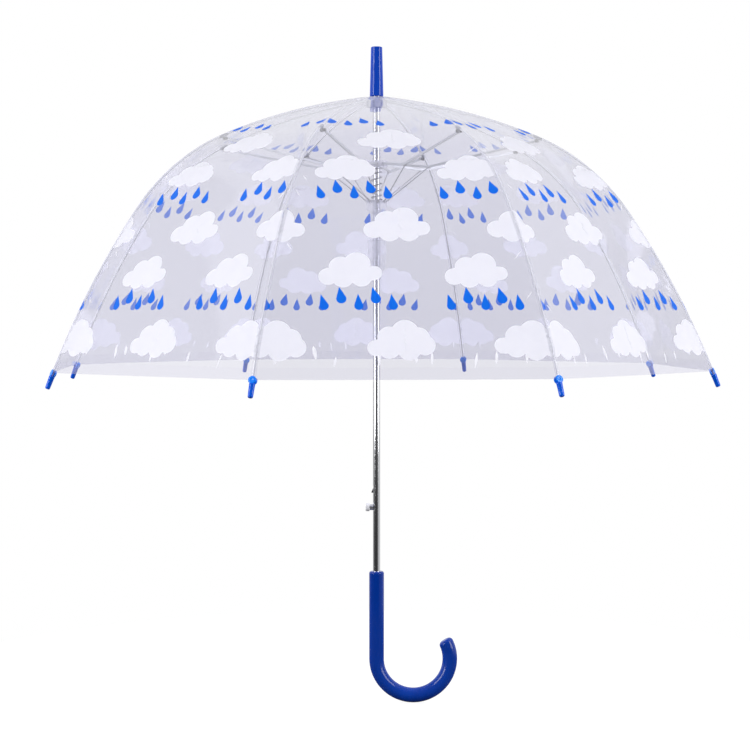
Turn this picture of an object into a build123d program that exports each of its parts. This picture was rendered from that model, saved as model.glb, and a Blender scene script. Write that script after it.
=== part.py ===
"""Clear dome umbrella with a crook handle and an automatic opening frame.

The shaft stands on the Z axis and the crook's lowest point is at Z = 0. The crook opens
towards +X, and the release button is on the -X side. The umbrella is modelled open.
Each rib's linkage is drawn once, in the XZ plane with X pointing outwards from the shaft,
and then turned to its own azimuth. A rib, its stretcher and its strut lie side by side
in three parallel planes, so that they can fold past each other.
"""
import os
from math import acos, asin, atan2, cos, degrees, hypot, radians, sin

from build123d import *

# Frame: eight ribs round the shaft
RIB_COUNT = 8
FIRST_RIB_AZIMUTH = -17.9          # degrees from +X
RIB_PITCH = 360 / RIB_COUNT

# Clearances
GAP = 0.3                          # between pieces that move past each other
RUNNING = 0.08                     # radial play of a pivot in its hole
SLIDING = 0.2                      # radial play of hub and runner on the shaft

# Handle: a straight grip that bends into a crook
GRIP_RADIUS = 9.4
CROOK_RADIUS = 46.8                # bend radius of the centre line
CROOK_SWEEP = 211                  # degrees
GRIP_LENGTH = 112.1                # straight part, above the crook
GRIP_TOP_ROUND = 2.5
CROOK_END_ROUND = 5.0
GRIP_SOCKET_DEPTH = 60             # how far the shaft goes into the grip

# Shaft: a steel tube
SHAFT_RADIUS = 4.5
SHAFT_WALL = 0.6

# Height of the rib pivots above the top of the grip
PIVOT_ABOVE_GRIP = 597.2

# Crown: the fixed notched ring that carries the ribs on a wire
CROWN_RADIUS = 13.0
CROWN_PIVOT_RADIUS = 11.0
CROWN_BELOW_PIVOT = 8.5
CROWN_ABOVE_PIVOT = 3.0
CROWN_WIRE_RADIUS = 0.5
WASHER_RADIUS = 8.0
WASHER_THICKNESS = 1.2

# Ferrule: the tapered cap on the top of the shaft
FERRULE_LENGTH = 62.3
FERRULE_BASE_RADIUS = 8.7
FERRULE_TOP_RADIUS = 7.2
FERRULE_END_WALL = 16
FERRULE_EDGE_ROUND = 1.2

# Ribs: round spring rods that follow three tangent arcs, each with a length and a turn in degrees
RIB_HEADING = 6.5                  # degrees below the horizontal, at the crown
RIB_TOP_LENGTH = 200
RIB_TOP_TURN = 16.5
RIB_SHOULDER_LENGTH = 150
RIB_SHOULDER_TURN = 32.5
RIB_SIDE_LENGTH = 240
RIB_SIDE_TURN = 13.5
ROD_RADIUS = 1.0
FLEX_BEYOND_TOP = 85               # from the end of the first arc to the flexing point
ROD_IN_TIP = 9                     # how far the rod reaches into its tip
EYE_RADIUS = 1.9
EYE_WIDTH = 2.0

# Bracket: the plastic clip that hangs a stretcher under its rib
BRACKET_BEYOND_TOP = 5             # from the end of the first arc to the clip's middle
BRACKET_DROP = 4.1                 # from the rib's centre line to the stretcher's rivet
BRACKET_LENGTH = 13
BRACKET_WIDTH = 3.0
BRACKET_LUG_RADIUS = 2.6
BRACKET_OVER_ROD = 0.4             # how far the clip reaches above the rib's centre line
BRACKET_WALL = 1.0                 # under the rod

# Rivets
RIVET_RADIUS = 0.8
RIVET_HEAD_RADIUS = 1.9
RIVET_HEAD_HEIGHT = 0.7

# Stretchers: folded steel channels from the upper hub to the ribs
CHANNEL_WIDTH = 2.4
CHANNEL_HEIGHT = 2.6
CHANNEL_WALL = 0.5
STRETCHER_EYE_RADIUS = 1.7
HUB_PIVOT_DROP = 79.7              # below the crown pivot
STRUT_PIVOT_RADIUS = 67.3
STRUT_PIVOT_DROP = 84.8            # below the crown pivot

# Struts: steel wires from the runner to the stretchers
STRUT_WIRE_RADIUS = 0.8
STRUT_EYE_RADIUS = 1.6
RUNNER_PIVOT_DROP = 127.2          # below the crown pivot

# Upper hub and lower runner
HUB_RADIUS = 14.0
HUB_HEIGHT = 7.7
HUB_RING_RADIUS = 13.0             # of the stretchers' wire ring
RUNNER_RING_RADIUS = 12.2          # of the struts' wire ring
RING_WIRE_RADIUS = 0.45
RUNNER_FLANGE_RADIUS = 13.0
RUNNER_FLANGE_HEIGHT = 12
RUNNER_SLEEVE_RADIUS = 8.0
RUNNER_GRIP_RADIUS = 11.3
RUNNER_GRIP_HEIGHT = 26
RUNNER_END_RADIUS = 9.4
RUNNER_END_HEIGHT = 10
RUNNER_LENGTH = 87
RUNNER_TOP_ABOVE_PIVOT = 1.7
RUNNER_LIP = 2.0                   # wall below the latch window

# Springs
MAIN_SPRING_RADIUS = 5.8           # of the wire's centre line
MAIN_SPRING_WIRE = 0.7             # wire radius
MAIN_SPRING_TURNS = 6
BUFFER_SPRING_RADIUS = 5.1
BUFFER_SPRING_WIRE = 0.4
BUFFER_SPRING_TURNS = 16

# Latch: a lever inside the shaft with a tooth, pressed in by a button
TOOTH_HEIGHT = 8.1
TOOTH_REACH = 2.0                  # beyond the shaft's wall
LEVER_THICKNESS = 0.8
LEVER_WIDTH = 2.8
LEVER_PIVOT_ABOVE_BUTTON = 60
LEVER_TAIL = 2.0                   # below the button's centre
TOOTH_FLAT = 1.0                   # height of the tooth's blunt edge
LEVER_PIN_RADIUS = 0.6
LEVER_EYE_RADIUS = 1.4
BUTTON_ABOVE_GRIP = 81.9
BUTTON_RADIUS = 5.1
BUTTON_THICKNESS = 4.8
BUTTON_TRAVEL = 3.0
BUTTON_WALL = 1.2
BUTTON_STEM_RADIUS = 1.5
BUSH_RADIUS = 3.75
BUSH_LENGTH = 4.3                  # beyond the shaft's wall

# Rib tips: a flat eye under the hem's corner and a round nose
TIP_EYE_RADIUS = 4.5
TIP_EYE_THICKNESS = 2.2
TIP_EYE_DROP = 0.9                 # its upper face below the rib's centre line
NOSE_BASE_RADIUS = 3.3
NOSE_END_RADIUS = 2.9
NOSE_BEYOND_HEM = 3.5
NOSE_LENGTH = 16
NOSE_ROUND = 1.2

# Canopy: eight panels of film
FILM_THICKNESS = 0.3
FILM_ABOVE_ROD = 0.4
FILM_SEAM = 0.25                   # from the rib's plane to the panel's edge
FILM_HOLE_RADIUS = 6.5
CLOSED_FLEX_RADIUS = 12.5          # where the flexing point lies when the frame is folded

CUT_MARGIN = 1.0                   # how far a cutting shape reaches beyond what it cuts

RIB_ARCS = ((RIB_TOP_LENGTH, RIB_TOP_TURN),
            (RIB_SHOULDER_LENGTH, RIB_SHOULDER_TURN),
            (RIB_SIDE_LENGTH, RIB_SIDE_TURN))

# Arc lengths from the crown pivot that follow from the sizes above
RIB_LINE_LENGTH = RIB_TOP_LENGTH + RIB_SHOULDER_LENGTH + RIB_SIDE_LENGTH
BRACKET_AT = RIB_TOP_LENGTH + BRACKET_BEYOND_TOP
FLEX_AT = RIB_TOP_LENGTH + FLEX_BEYOND_TOP
NOSE_AT = RIB_LINE_LENGTH - NOSE_LENGTH
HEM_AT = NOSE_AT - NOSE_BEYOND_HEM
ROD_END_AT = NOSE_AT + ROD_IN_TIP

# Heights that follow from the sizes above
CROOK_CENTRE_Z = GRIP_RADIUS + CROOK_RADIUS
GRIP_TOP_Z = CROOK_CENTRE_Z + GRIP_LENGTH
PIVOT_Z = GRIP_TOP_Z + PIVOT_ABOVE_GRIP
CROWN_TOP_Z = PIVOT_Z + CROWN_ABOVE_PIVOT
FILM_APEX_Z = CROWN_TOP_Z + WASHER_THICKNESS + GAP
FERRULE_Z = FILM_APEX_Z + FILM_THICKNESS + GAP
SHAFT_BOTTOM_Z = GRIP_TOP_Z - GRIP_SOCKET_DEPTH
SHAFT_TOP_Z = FERRULE_Z + FERRULE_LENGTH - FERRULE_END_WALL
BUTTON_Z = GRIP_TOP_Z + BUTTON_ABOVE_GRIP
LEVER_PIVOT_Z = BUTTON_Z + LEVER_PIVOT_ABOVE_BUTTON
HUB_PIVOT_Z = PIVOT_Z - HUB_PIVOT_DROP
RUNNER_PIVOT_Z = PIVOT_Z - RUNNER_PIVOT_DROP
RUNNER_TOP_Z = RUNNER_PIVOT_Z + RUNNER_TOP_ABOVE_PIVOT
RUNNER_BOTTOM_Z = RUNNER_TOP_Z - RUNNER_LENGTH
HUB_TOP_Z = HUB_PIVOT_Z + HUB_HEIGHT / 2
SHAFT_BORE = SHAFT_RADIUS - SHAFT_WALL
SLIDE_BORE = SHAFT_RADIUS + SLIDING

# Side-by-side planes of a rib's linkage, as Y in the rib's own frame
STRETCHER_Y = BRACKET_WIDTH / 2 + GAP + CHANNEL_WIDTH / 2
STRUT_Y = STRETCHER_Y + CHANNEL_WIDTH / 2 + GAP + STRUT_WIRE_RADIUS

CROWN_PIVOT = (CROWN_PIVOT_RADIUS, PIVOT_Z)
HUB_PIVOT = ((HUB_RING_RADIUS ** 2 - STRETCHER_Y ** 2) ** 0.5, HUB_PIVOT_Z)
STRUT_PIVOT = (STRUT_PIVOT_RADIUS, PIVOT_Z - STRUT_PIVOT_DROP)
RUNNER_PIVOT = ((RUNNER_RING_RADIUS ** 2 - STRUT_Y ** 2) ** 0.5, RUNNER_PIVOT_Z)


def rib_heading(length):
    """Heading of the rib at an arc length, in degrees below the horizontal."""
    heading = RIB_HEADING
    for arc_length, turn in RIB_ARCS:
        step = min(length, arc_length)
        heading += turn * step / arc_length
        length -= step
    return heading


def rib_point(length, above=0.0):
    """Point (x, z) at an arc length from the crown pivot, moved outwards by above."""
    x, z = CROWN_PIVOT
    heading = radians(RIB_HEADING)
    for arc_length, turn in RIB_ARCS:
        step = min(length, arc_length)
        curve = radians(turn) / arc_length
        turned = heading + curve * step
        x += (sin(turned) - sin(heading)) / curve
        z += (cos(turned) - cos(heading)) / curve
        heading = turned
        length -= step
    return x + above * sin(heading), z + above * cos(heading)


def arc_ends():
    """Arc lengths at which one arc of the rib gives way to the next."""
    ends = [0]
    for arc_length, _ in RIB_ARCS:
        ends.append(ends[-1] + arc_length)
    return ends


BRACKET_PIVOT = rib_point(BRACKET_AT, -BRACKET_DROP)
FLEX_POINT = rib_point(FLEX_AT)


def turned(point, about, angle):
    """Turn a point (x, z) about another, where a positive angle lowers the outer end."""
    x, z = point[0] - about[0], point[1] - about[1]
    c, s = cos(radians(angle)), sin(radians(angle))
    return about[0] + x * c + z * s, about[1] - x * s + z * c


def slope(start, end):
    """Angle of the line from start to end, in degrees below the horizontal."""
    return degrees(atan2(start[1] - end[1], end[0] - start[0]))


def span(start, end):
    """Distance between two points (x, z)."""
    return hypot(end[0] - start[0], end[1] - start[1])


def fold():
    """Turns and travels that take each body of the linkage from open to folded."""
    reach = span(CROWN_PIVOT, FLEX_POINT)
    drop = degrees(acos((CLOSED_FLEX_RADIUS - CROWN_PIVOT[0]) / reach))
    rib_turn = drop - slope(CROWN_PIVOT, FLEX_POINT)
    outer_turn = 90 - slope(FLEX_POINT, rib_point(ROD_END_AT))

    bracket = turned(BRACKET_PIVOT, CROWN_PIVOT, rib_turn)
    arm = span(HUB_PIVOT, BRACKET_PIVOT)
    lean = degrees(asin((bracket[0] - HUB_PIVOT[0]) / arm))
    hub_z = bracket[1] - arm * cos(radians(lean))
    stretcher_turn = (lean - 90) - slope(HUB_PIVOT, BRACKET_PIVOT)

    joint = turned(STRUT_PIVOT, HUB_PIVOT, stretcher_turn)
    joint = (joint[0], joint[1] + hub_z - HUB_PIVOT[1])
    wire = span(RUNNER_PIVOT, STRUT_PIVOT)
    wire_lean = degrees(asin((joint[0] - RUNNER_PIVOT[0]) / wire))
    runner_z = joint[1] - wire * cos(radians(wire_lean))
    strut_turn = (wire_lean - 90) - slope(RUNNER_PIVOT, STRUT_PIVOT)
    return {
        "rib": rib_turn,
        "flex": outer_turn - rib_turn,
        "stretcher": stretcher_turn,
        "strut": strut_turn,
        "hub": HUB_PIVOT[1] - hub_z,
        "runner": RUNNER_PIVOT[1] - runner_z,
    }


RUNNER_TRAVEL = fold()["runner"]
WINDOW_Z = RUNNER_BOTTOM_Z + RUNNER_LIP
TOOTH_Z = WINDOW_Z - RUNNER_TRAVEL + GAP


def in_plane(points, y=0.0):
    """Place points (x, z) in the plane at a given Y."""
    return [(x, y, z) for x, z in points]


def flat(points, y, width):
    """Plate of a given outline in the XZ plane, with its thickness centred on y."""
    face = make_face(Polyline(*in_plane(points, y + width / 2), close=True))
    return extrude(face, amount=width, dir=(0, -1, 0))


def cross_pin(point, radius, low_y, high_y):
    """Cylinder along Y between two values of Y."""
    place = Location((point[0], (low_y + high_y) / 2, point[1]), (90, 0, 0))
    return place * Cylinder(radius, high_y - low_y)


def disc(radius, low_z, high_z):
    """Cylinder on the shaft's axis between two heights."""
    return Pos(0, 0, (low_z + high_z) / 2) * Cylinder(radius, high_z - low_z)


def block(low, high):
    """Box between two corners."""
    size = [b - a for a, b in zip(low, high)]
    middle = [(a + b) / 2 for a, b in zip(low, high)]
    return Pos(*middle) * Box(*size)


def turned_shape(points):
    """Solid of revolution about the shaft's axis from an outline of (radius, z) points."""
    return revolve(make_face(Polyline(*in_plane(points), close=True)), Axis.Z)


def ring(radius, wire, z):
    """Wire ring round the shaft."""
    return Pos(0, 0, z) * Torus(radius, wire)


def round_ribs(shape):
    """Copies of a shape in the planes of all ribs, in the ribs' common frame."""
    return [Rot(0, 0, FIRST_RIB_AZIMUTH + index * RIB_PITCH) * shape for index in range(RIB_COUNT)]


def rib_path(start, end, above=0.0):
    """Tangent arcs of the rib's line between two arc lengths."""
    stops = [start] + [stop for stop in arc_ends() if start < stop < end] + [end]
    arcs = []
    for low, high in zip(stops, stops[1:]):
        trio = [rib_point(low, above), rib_point((low + high) / 2, above), rib_point(high, above)]
        arcs.append(ThreePointArc(*in_plane(trio)))
    return arcs


def rod_between(start, end):
    """Round rod along the rib between two arc lengths."""
    x, z = rib_point(start)
    heading = radians(rib_heading(start))
    section = Plane(origin=(x, 0, z), z_dir=(cos(heading), 0, -sin(heading))) * Circle(ROD_RADIUS)
    return sweep(section, path=Wire(rib_path(start, end)))


def rim_at(body, centre):
    """Closed circular edge whose centre lies nearest a point."""
    rims = [edge for edge in body.edges().filter_by(GeomType.CIRCLE) if edge.is_closed]
    return min(rims, key=lambda edge: (edge.arc_center - Vector(*centre)).length)


def rivet(point, flush_y, head_y):
    """Rivet along Y, flush at one end and with a head beyond the other."""
    step = RIVET_HEAD_HEIGHT if head_y > flush_y else -RIVET_HEAD_HEIGHT
    shank = cross_pin(point, RIVET_RADIUS, *sorted((flush_y, head_y)))
    return shank + cross_pin(point, RIVET_HEAD_RADIUS, *sorted((head_y, head_y + step)))


def ring_hole(point, radius, y, width):
    """Hole along Y through an eye of a given width, wide enough for a ring that crosses it aslant."""
    near, far = y - width / 2, y + width / 2
    slant = (radius ** 2 - near ** 2) ** 0.5 - (radius ** 2 - far ** 2) ** 0.5
    return cross_pin(point, RING_WIRE_RADIUS + slant / 2 + RUNNING, near, far)


def handle():
    """Crook handle with a blind socket for the shaft."""
    grip = Line((0, 0, GRIP_TOP_Z), (0, 0, CROOK_CENTRE_Z))
    end = turned((0, CROOK_CENTRE_Z), (CROOK_RADIUS, CROOK_CENTRE_Z), -CROOK_SWEEP)
    middle = turned((0, CROOK_CENTRE_Z), (CROOK_RADIUS, CROOK_CENTRE_Z), -CROOK_SWEEP / 2)
    crook = ThreePointArc(*in_plane([(0, CROOK_CENTRE_Z), middle, end]))
    body = sweep(Plane((0, 0, GRIP_TOP_Z)) * Circle(GRIP_RADIUS), path=Wire([grip, crook]))
    body = fillet(rim_at(body, (0, 0, GRIP_TOP_Z)), GRIP_TOP_ROUND)
    body = fillet(rim_at(body, (end[0], 0, end[1])), CROOK_END_ROUND)
    return [body - disc(SHAFT_RADIUS, SHAFT_BOTTOM_Z, GRIP_TOP_Z)]


def shaft():
    """Steel tube with the latch's slot, the button's bush and the lever's pin."""
    low, high = SHAFT_BOTTOM_Z, SHAFT_TOP_Z
    tube = disc(SHAFT_RADIUS, low, high) - disc(SHAFT_BORE, low, high)
    half_slot = LEVER_WIDTH / 2 + GAP
    slot_low = (-SHAFT_RADIUS - CUT_MARGIN, -half_slot, TOOTH_Z - 2 * GAP)
    slot_high = (0, half_slot, TOOTH_Z + TOOTH_HEIGHT + 2 * GAP)
    tube -= block(slot_low, slot_high)
    stem_hole = BUTTON_STEM_RADIUS + RUNNING
    bush_start = -SHAFT_BORE - SHAFT_WALL / 2
    middle = Pos(-SHAFT_RADIUS - BUSH_LENGTH / 2, 0, BUTTON_Z) * Rot(0, 90, 0)
    bush = middle * Cylinder(BUSH_RADIUS, BUSH_LENGTH)
    bush += Pos(bush_start / 2 - SHAFT_RADIUS / 2, 0, BUTTON_Z) * Rot(0, 90, 0) * Cylinder(
        BUSH_RADIUS, SHAFT_RADIUS + bush_start)
    hole = middle * Cylinder(stem_hole, 2 * SHAFT_RADIUS + BUSH_LENGTH - CUT_MARGIN)
    tube -= hole
    bush = bush - disc(SHAFT_RADIUS, BUTTON_Z - 2 * BUSH_RADIUS, BUTTON_Z + 2 * BUSH_RADIUS) - hole
    pin_reach = (SHAFT_RADIUS ** 2 - lever_pin()[0] ** 2) ** 0.5 - SHAFT_WALL / 2
    pin = cross_pin(lever_pin(), LEVER_PIN_RADIUS, -pin_reach, pin_reach)
    return [tube - pin, bush, pin]


def lever_face_x():
    """Outer face of the latch lever: as close to the tube's wall as its width allows."""
    return -((SHAFT_BORE - GAP) ** 2 - (LEVER_WIDTH / 2) ** 2) ** 0.5


def lever_pin():
    """Centre (x, z) of the pin that the latch lever turns on."""
    return lever_face_x() + LEVER_THICKNESS / 2 + LEVER_EYE_RADIUS / 2, LEVER_PIVOT_Z


def latch_lever():
    """Lever inside the shaft: an eye at its top, a tooth, and a pad behind the button."""
    outer = lever_face_x()
    inner = outer + LEVER_THICKNESS
    pin_x, pin_z = lever_pin()
    tail = BUTTON_Z - LEVER_TAIL
    strip = [(outer, tail), (inner, tail), (inner, pin_z), (outer, pin_z)]
    reach = -SHAFT_RADIUS - TOOTH_REACH
    tooth = [(outer, TOOTH_Z), (reach, TOOTH_Z),
             (reach, TOOTH_Z + TOOTH_FLAT), (outer, TOOTH_Z + TOOTH_HEIGHT)]
    lever = flat(strip, 0, LEVER_WIDTH) + flat(tooth, 0, LEVER_WIDTH)
    half = LEVER_WIDTH / 2
    lever += cross_pin((pin_x, pin_z), LEVER_EYE_RADIUS, -half, half)
    return [lever - cross_pin((pin_x, pin_z), LEVER_PIN_RADIUS + RUNNING, -half, half)]


def release_button():
    """Cup-shaped push button whose stem reaches the latch lever."""
    face_x = -SHAFT_RADIUS - BUSH_LENGTH - GAP
    across = Pos(0, 0, BUTTON_Z) * Rot(0, -90, 0)
    cap = across * Pos(0, 0, -face_x + BUTTON_THICKNESS / 2) * Cylinder(BUTTON_RADIUS, BUTTON_THICKNESS)
    outer_edge = cap.edges().filter_by(GeomType.CIRCLE).sort_by(Axis.X)[0]
    cap = fillet(outer_edge, BUTTON_WALL)
    cup_depth = BUTTON_TRAVEL + GAP
    cap -= across * Pos(0, 0, -face_x + cup_depth / 2) * Cylinder(BUSH_RADIUS + GAP, cup_depth)
    stem_start = lever_face_x() - GAP
    stem_end = face_x - BUTTON_THICKNESS / 2 - cup_depth / 2
    stem = across * Pos(0, 0, -(stem_start + stem_end) / 2) * Cylinder(
        BUTTON_STEM_RADIUS, stem_start - stem_end)
    return [cap + stem]


def crown():
    """Notched ring fixed to the shaft, with a groove for the ribs' wire."""
    body = disc(CROWN_RADIUS, PIVOT_Z - CROWN_BELOW_PIVOT, CROWN_TOP_Z)
    body -= disc(SHAFT_RADIUS, PIVOT_Z - CROWN_BELOW_PIVOT, CROWN_TOP_Z)
    groove = disc(CROWN_PIVOT_RADIUS + CROWN_WIRE_RADIUS, PIVOT_Z - CROWN_WIRE_RADIUS, CROWN_TOP_Z)
    groove -= disc(CROWN_PIVOT_RADIUS - CROWN_WIRE_RADIUS, PIVOT_Z - CROWN_WIRE_RADIUS, CROWN_TOP_Z)
    half = EYE_WIDTH / 2 + GAP
    notch_start = CROWN_PIVOT_RADIUS - EYE_RADIUS - GAP
    notch = block((notch_start, -half, PIVOT_Z - CROWN_BELOW_PIVOT),
                  (CROWN_RADIUS + CUT_MARGIN, half, CROWN_TOP_Z))
    return [body - groove - round_ribs(notch)]


def crown_wire():
    """Ring of wire that all rib eyes turn on."""
    return [ring(CROWN_PIVOT_RADIUS, CROWN_WIRE_RADIUS, PIVOT_Z)]


def top_washer():
    """Washer that closes the crown's groove under the canopy."""
    washer = disc(WASHER_RADIUS, CROWN_TOP_Z, CROWN_TOP_Z + WASHER_THICKNESS)
    return [washer - disc(SHAFT_RADIUS, CROWN_TOP_Z, CROWN_TOP_Z + WASHER_THICKNESS)]


def ferrule():
    """Tapered cap pressed on the shaft's top."""
    top = FERRULE_Z + FERRULE_LENGTH
    body = turned_shape([
        (0, FERRULE_Z), (FERRULE_BASE_RADIUS, FERRULE_Z), (FERRULE_TOP_RADIUS, top), (0, top)])
    body = fillet(body.edges().filter_by(GeomType.CIRCLE), FERRULE_EDGE_ROUND)
    return [body - disc(SHAFT_RADIUS, FERRULE_Z, SHAFT_TOP_Z)]


def coil(radius, wire, turns, low_z, high_z):
    """Round-wire spring between two heights, kept clear of both by its own wire."""
    height = high_z - low_z - 2 * wire
    line = Pos(0, 0, low_z + wire) * Helix(height / turns, height, radius)
    section = Plane(origin=line @ 0, z_dir=line % 0) * Circle(wire)
    return sweep(section, path=line)


def main_spring():
    """Opening spring between the upper hub and the runner."""
    low, high = RUNNER_TOP_Z + GAP, HUB_TOP_Z - HUB_HEIGHT - GAP
    return [coil(MAIN_SPRING_RADIUS, MAIN_SPRING_WIRE, MAIN_SPRING_TURNS, low, high)]


def buffer_spring():
    """Fine spring that stops the upper hub under the crown."""
    low, high = HUB_TOP_Z + GAP, PIVOT_Z - CROWN_BELOW_PIVOT
    return [coil(BUFFER_SPRING_RADIUS, BUFFER_SPRING_WIRE, BUFFER_SPRING_TURNS, low, high)]


def ring_groove(radius, low, high):
    """Annular groove that a wire ring lies in."""
    return disc(radius + RING_WIRE_RADIUS, low, high) - disc(radius - RING_WIRE_RADIUS, low, high)


def upper_hub():
    """Toothed hub that carries the stretchers, with its ring of wire."""
    low, high = HUB_TOP_Z - HUB_HEIGHT, HUB_TOP_Z
    body = disc(HUB_RADIUS, low, high) - disc(SLIDE_BORE, low, high)
    body -= ring_groove(HUB_RING_RADIUS, low, HUB_PIVOT_Z + RING_WIRE_RADIUS)
    half = CHANNEL_WIDTH / 2 + GAP
    slot_start = HUB_PIVOT[0] - STRETCHER_EYE_RADIUS - GAP
    slot = block((slot_start, STRETCHER_Y - half, low), (HUB_RADIUS + CUT_MARGIN, STRETCHER_Y + half, high))
    return [body - round_ribs(slot), ring(HUB_RING_RADIUS, RING_WIRE_RADIUS, HUB_PIVOT_Z)]


def lower_runner():
    """Plastic runner: notched flange, sleeve and flared grip, with a latch window."""
    top, low = RUNNER_TOP_Z, RUNNER_BOTTOM_Z
    flange_low = top - RUNNER_FLANGE_HEIGHT
    neck = flange_low - (RUNNER_FLANGE_RADIUS - RUNNER_SLEEVE_RADIUS)
    grip_low = low + RUNNER_END_HEIGHT
    grip_high = grip_low + RUNNER_GRIP_HEIGHT
    grip_neck = grip_high + (RUNNER_GRIP_RADIUS - RUNNER_SLEEVE_RADIUS) / 2
    body = turned_shape([
        (SLIDE_BORE, low), (RUNNER_END_RADIUS, low), (RUNNER_GRIP_RADIUS, grip_low),
        (RUNNER_GRIP_RADIUS, grip_high), (RUNNER_SLEEVE_RADIUS, grip_neck), (RUNNER_SLEEVE_RADIUS, neck),
        (RUNNER_FLANGE_RADIUS, flange_low), (RUNNER_FLANGE_RADIUS, top), (SLIDE_BORE, top)])
    half = LEVER_WIDTH / 2 + GAP
    window_high = WINDOW_Z + TOOTH_HEIGHT + 3 * GAP
    body -= block((-RUNNER_GRIP_RADIUS - CUT_MARGIN, -half, WINDOW_Z), (0, half, window_high))
    body -= ring_groove(RUNNER_RING_RADIUS, RUNNER_PIVOT_Z - RING_WIRE_RADIUS, top)
    room = STRUT_EYE_RADIUS + GAP
    half = STRUT_WIRE_RADIUS + GAP
    notch = block((RUNNER_PIVOT[0] - room, STRUT_Y - half, RUNNER_PIVOT_Z - room),
                  (RUNNER_FLANGE_RADIUS + CUT_MARGIN, STRUT_Y + half, top))
    return [body - round_ribs(notch), ring(RUNNER_RING_RADIUS, RING_WIRE_RADIUS, RUNNER_PIVOT_Z)]


def rib_inner():
    """Rib from the crown to the flexing point, with its bracket and the bracket's rivet."""
    half = EYE_WIDTH / 2
    hole = cross_pin(CROWN_PIVOT, CROWN_WIRE_RADIUS + 2 * RUNNING, -half, half)
    rod = rod_between(EYE_RADIUS / 2, FLEX_AT - ROD_RADIUS - GAP)
    rod += cross_pin(CROWN_PIVOT, EYE_RADIUS, -half, half)

    wide = BRACKET_WIDTH / 2
    start, end = BRACKET_AT - BRACKET_LENGTH / 2, BRACKET_AT + BRACKET_LENGTH / 2
    under = -ROD_RADIUS - BRACKET_WALL
    outline = [rib_point(start, BRACKET_OVER_ROD), rib_point(end, BRACKET_OVER_ROD),
               rib_point(end, under), rib_point(start, under)]
    clip = flat(outline, 0, BRACKET_WIDTH) + cross_pin(BRACKET_PIVOT, BRACKET_LUG_RADIUS, -wide, wide)
    clip -= rod_between(start - ROD_RADIUS, end + ROD_RADIUS)
    clip -= cross_pin(BRACKET_PIVOT, RIVET_RADIUS, -wide, wide)
    return [rod - hole, clip, rivet(BRACKET_PIVOT, wide, -wide)]


def rib_outer():
    """Rib from the flexing point to its tip, with a rounded end at the flexing point."""
    x, z = FLEX_POINT
    return [rod_between(FLEX_AT, ROD_END_AT) + Pos(x, 0, z) * Sphere(ROD_RADIUS)]


def rib_tip():
    """Plastic tip: a round nose on the rod's end and a flat eye under the hem."""
    heading = rib_heading(NOSE_AT)
    start = rib_point(NOSE_AT)
    along = Location((start[0], 0, start[1]), (0, 90 + heading, 0))
    nose = along * Pos(0, 0, NOSE_LENGTH / 2) * Cone(NOSE_BASE_RADIUS, NOSE_END_RADIUS, NOSE_LENGTH)
    end_edge = nose.edges().filter_by(GeomType.CIRCLE).sort_by(Axis.Z)[0]
    nose = fillet(end_edge, NOSE_ROUND)
    centre = rib_point(HEM_AT, -TIP_EYE_DROP - TIP_EYE_THICKNESS / 2)
    eye = Location((centre[0], 0, centre[1]), (0, rib_heading(HEM_AT), 0)) * Cylinder(
        TIP_EYE_RADIUS, TIP_EYE_THICKNESS)
    return [nose + eye - rod_between(HEM_AT - 2 * TIP_EYE_RADIUS, ROD_END_AT)]


def bent_band(points, below, above):
    """Outline of a band along a bent line, from below it to above it."""
    normals = []
    for start, end in zip(points, points[1:]):
        length = span(start, end)
        normals.append(((start[1] - end[1]) / length, (end[0] - start[0]) / length))
    corners = [normals[0]]
    for first, second in zip(normals, normals[1:]):
        scale = 1 + first[0] * second[0] + first[1] * second[1]
        corners.append(((first[0] + second[0]) / scale, (first[1] + second[1]) / scale))
    corners.append(normals[-1])
    top = [(p[0] + n[0] * above, p[1] + n[1] * above) for p, n in zip(points, corners)]
    bottom = [(p[0] - n[0] * below, p[1] - n[1] * below) for p, n in zip(points, corners)]
    return top + bottom[::-1]


def stretcher():
    """Folded channel from the hub to the bracket, with a rivet in its outer end."""
    line = [HUB_PIVOT, STRUT_PIVOT, BRACKET_PIVOT]
    half = CHANNEL_HEIGHT / 2
    low_y, high_y = STRETCHER_Y - CHANNEL_WIDTH / 2, STRETCHER_Y + CHANNEL_WIDTH / 2
    bar = flat(bent_band(line, half, half), STRETCHER_Y, CHANNEL_WIDTH)
    trough_width = CHANNEL_WIDTH - 2 * CHANNEL_WALL
    trough = flat(bent_band(line, half - CHANNEL_WALL, half + CUT_MARGIN), STRETCHER_Y, trough_width)
    bar = bar - trough
    bar += cross_pin(HUB_PIVOT, STRETCHER_EYE_RADIUS, low_y, high_y)
    bar += cross_pin(BRACKET_PIVOT, STRETCHER_EYE_RADIUS, low_y, high_y)
    bar -= ring_hole(HUB_PIVOT, HUB_RING_RADIUS, STRETCHER_Y, CHANNEL_WIDTH)
    bar -= cross_pin(BRACKET_PIVOT, RIVET_RADIUS, low_y, high_y)
    return [bar, rivet(BRACKET_PIVOT, low_y, high_y)]


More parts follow.
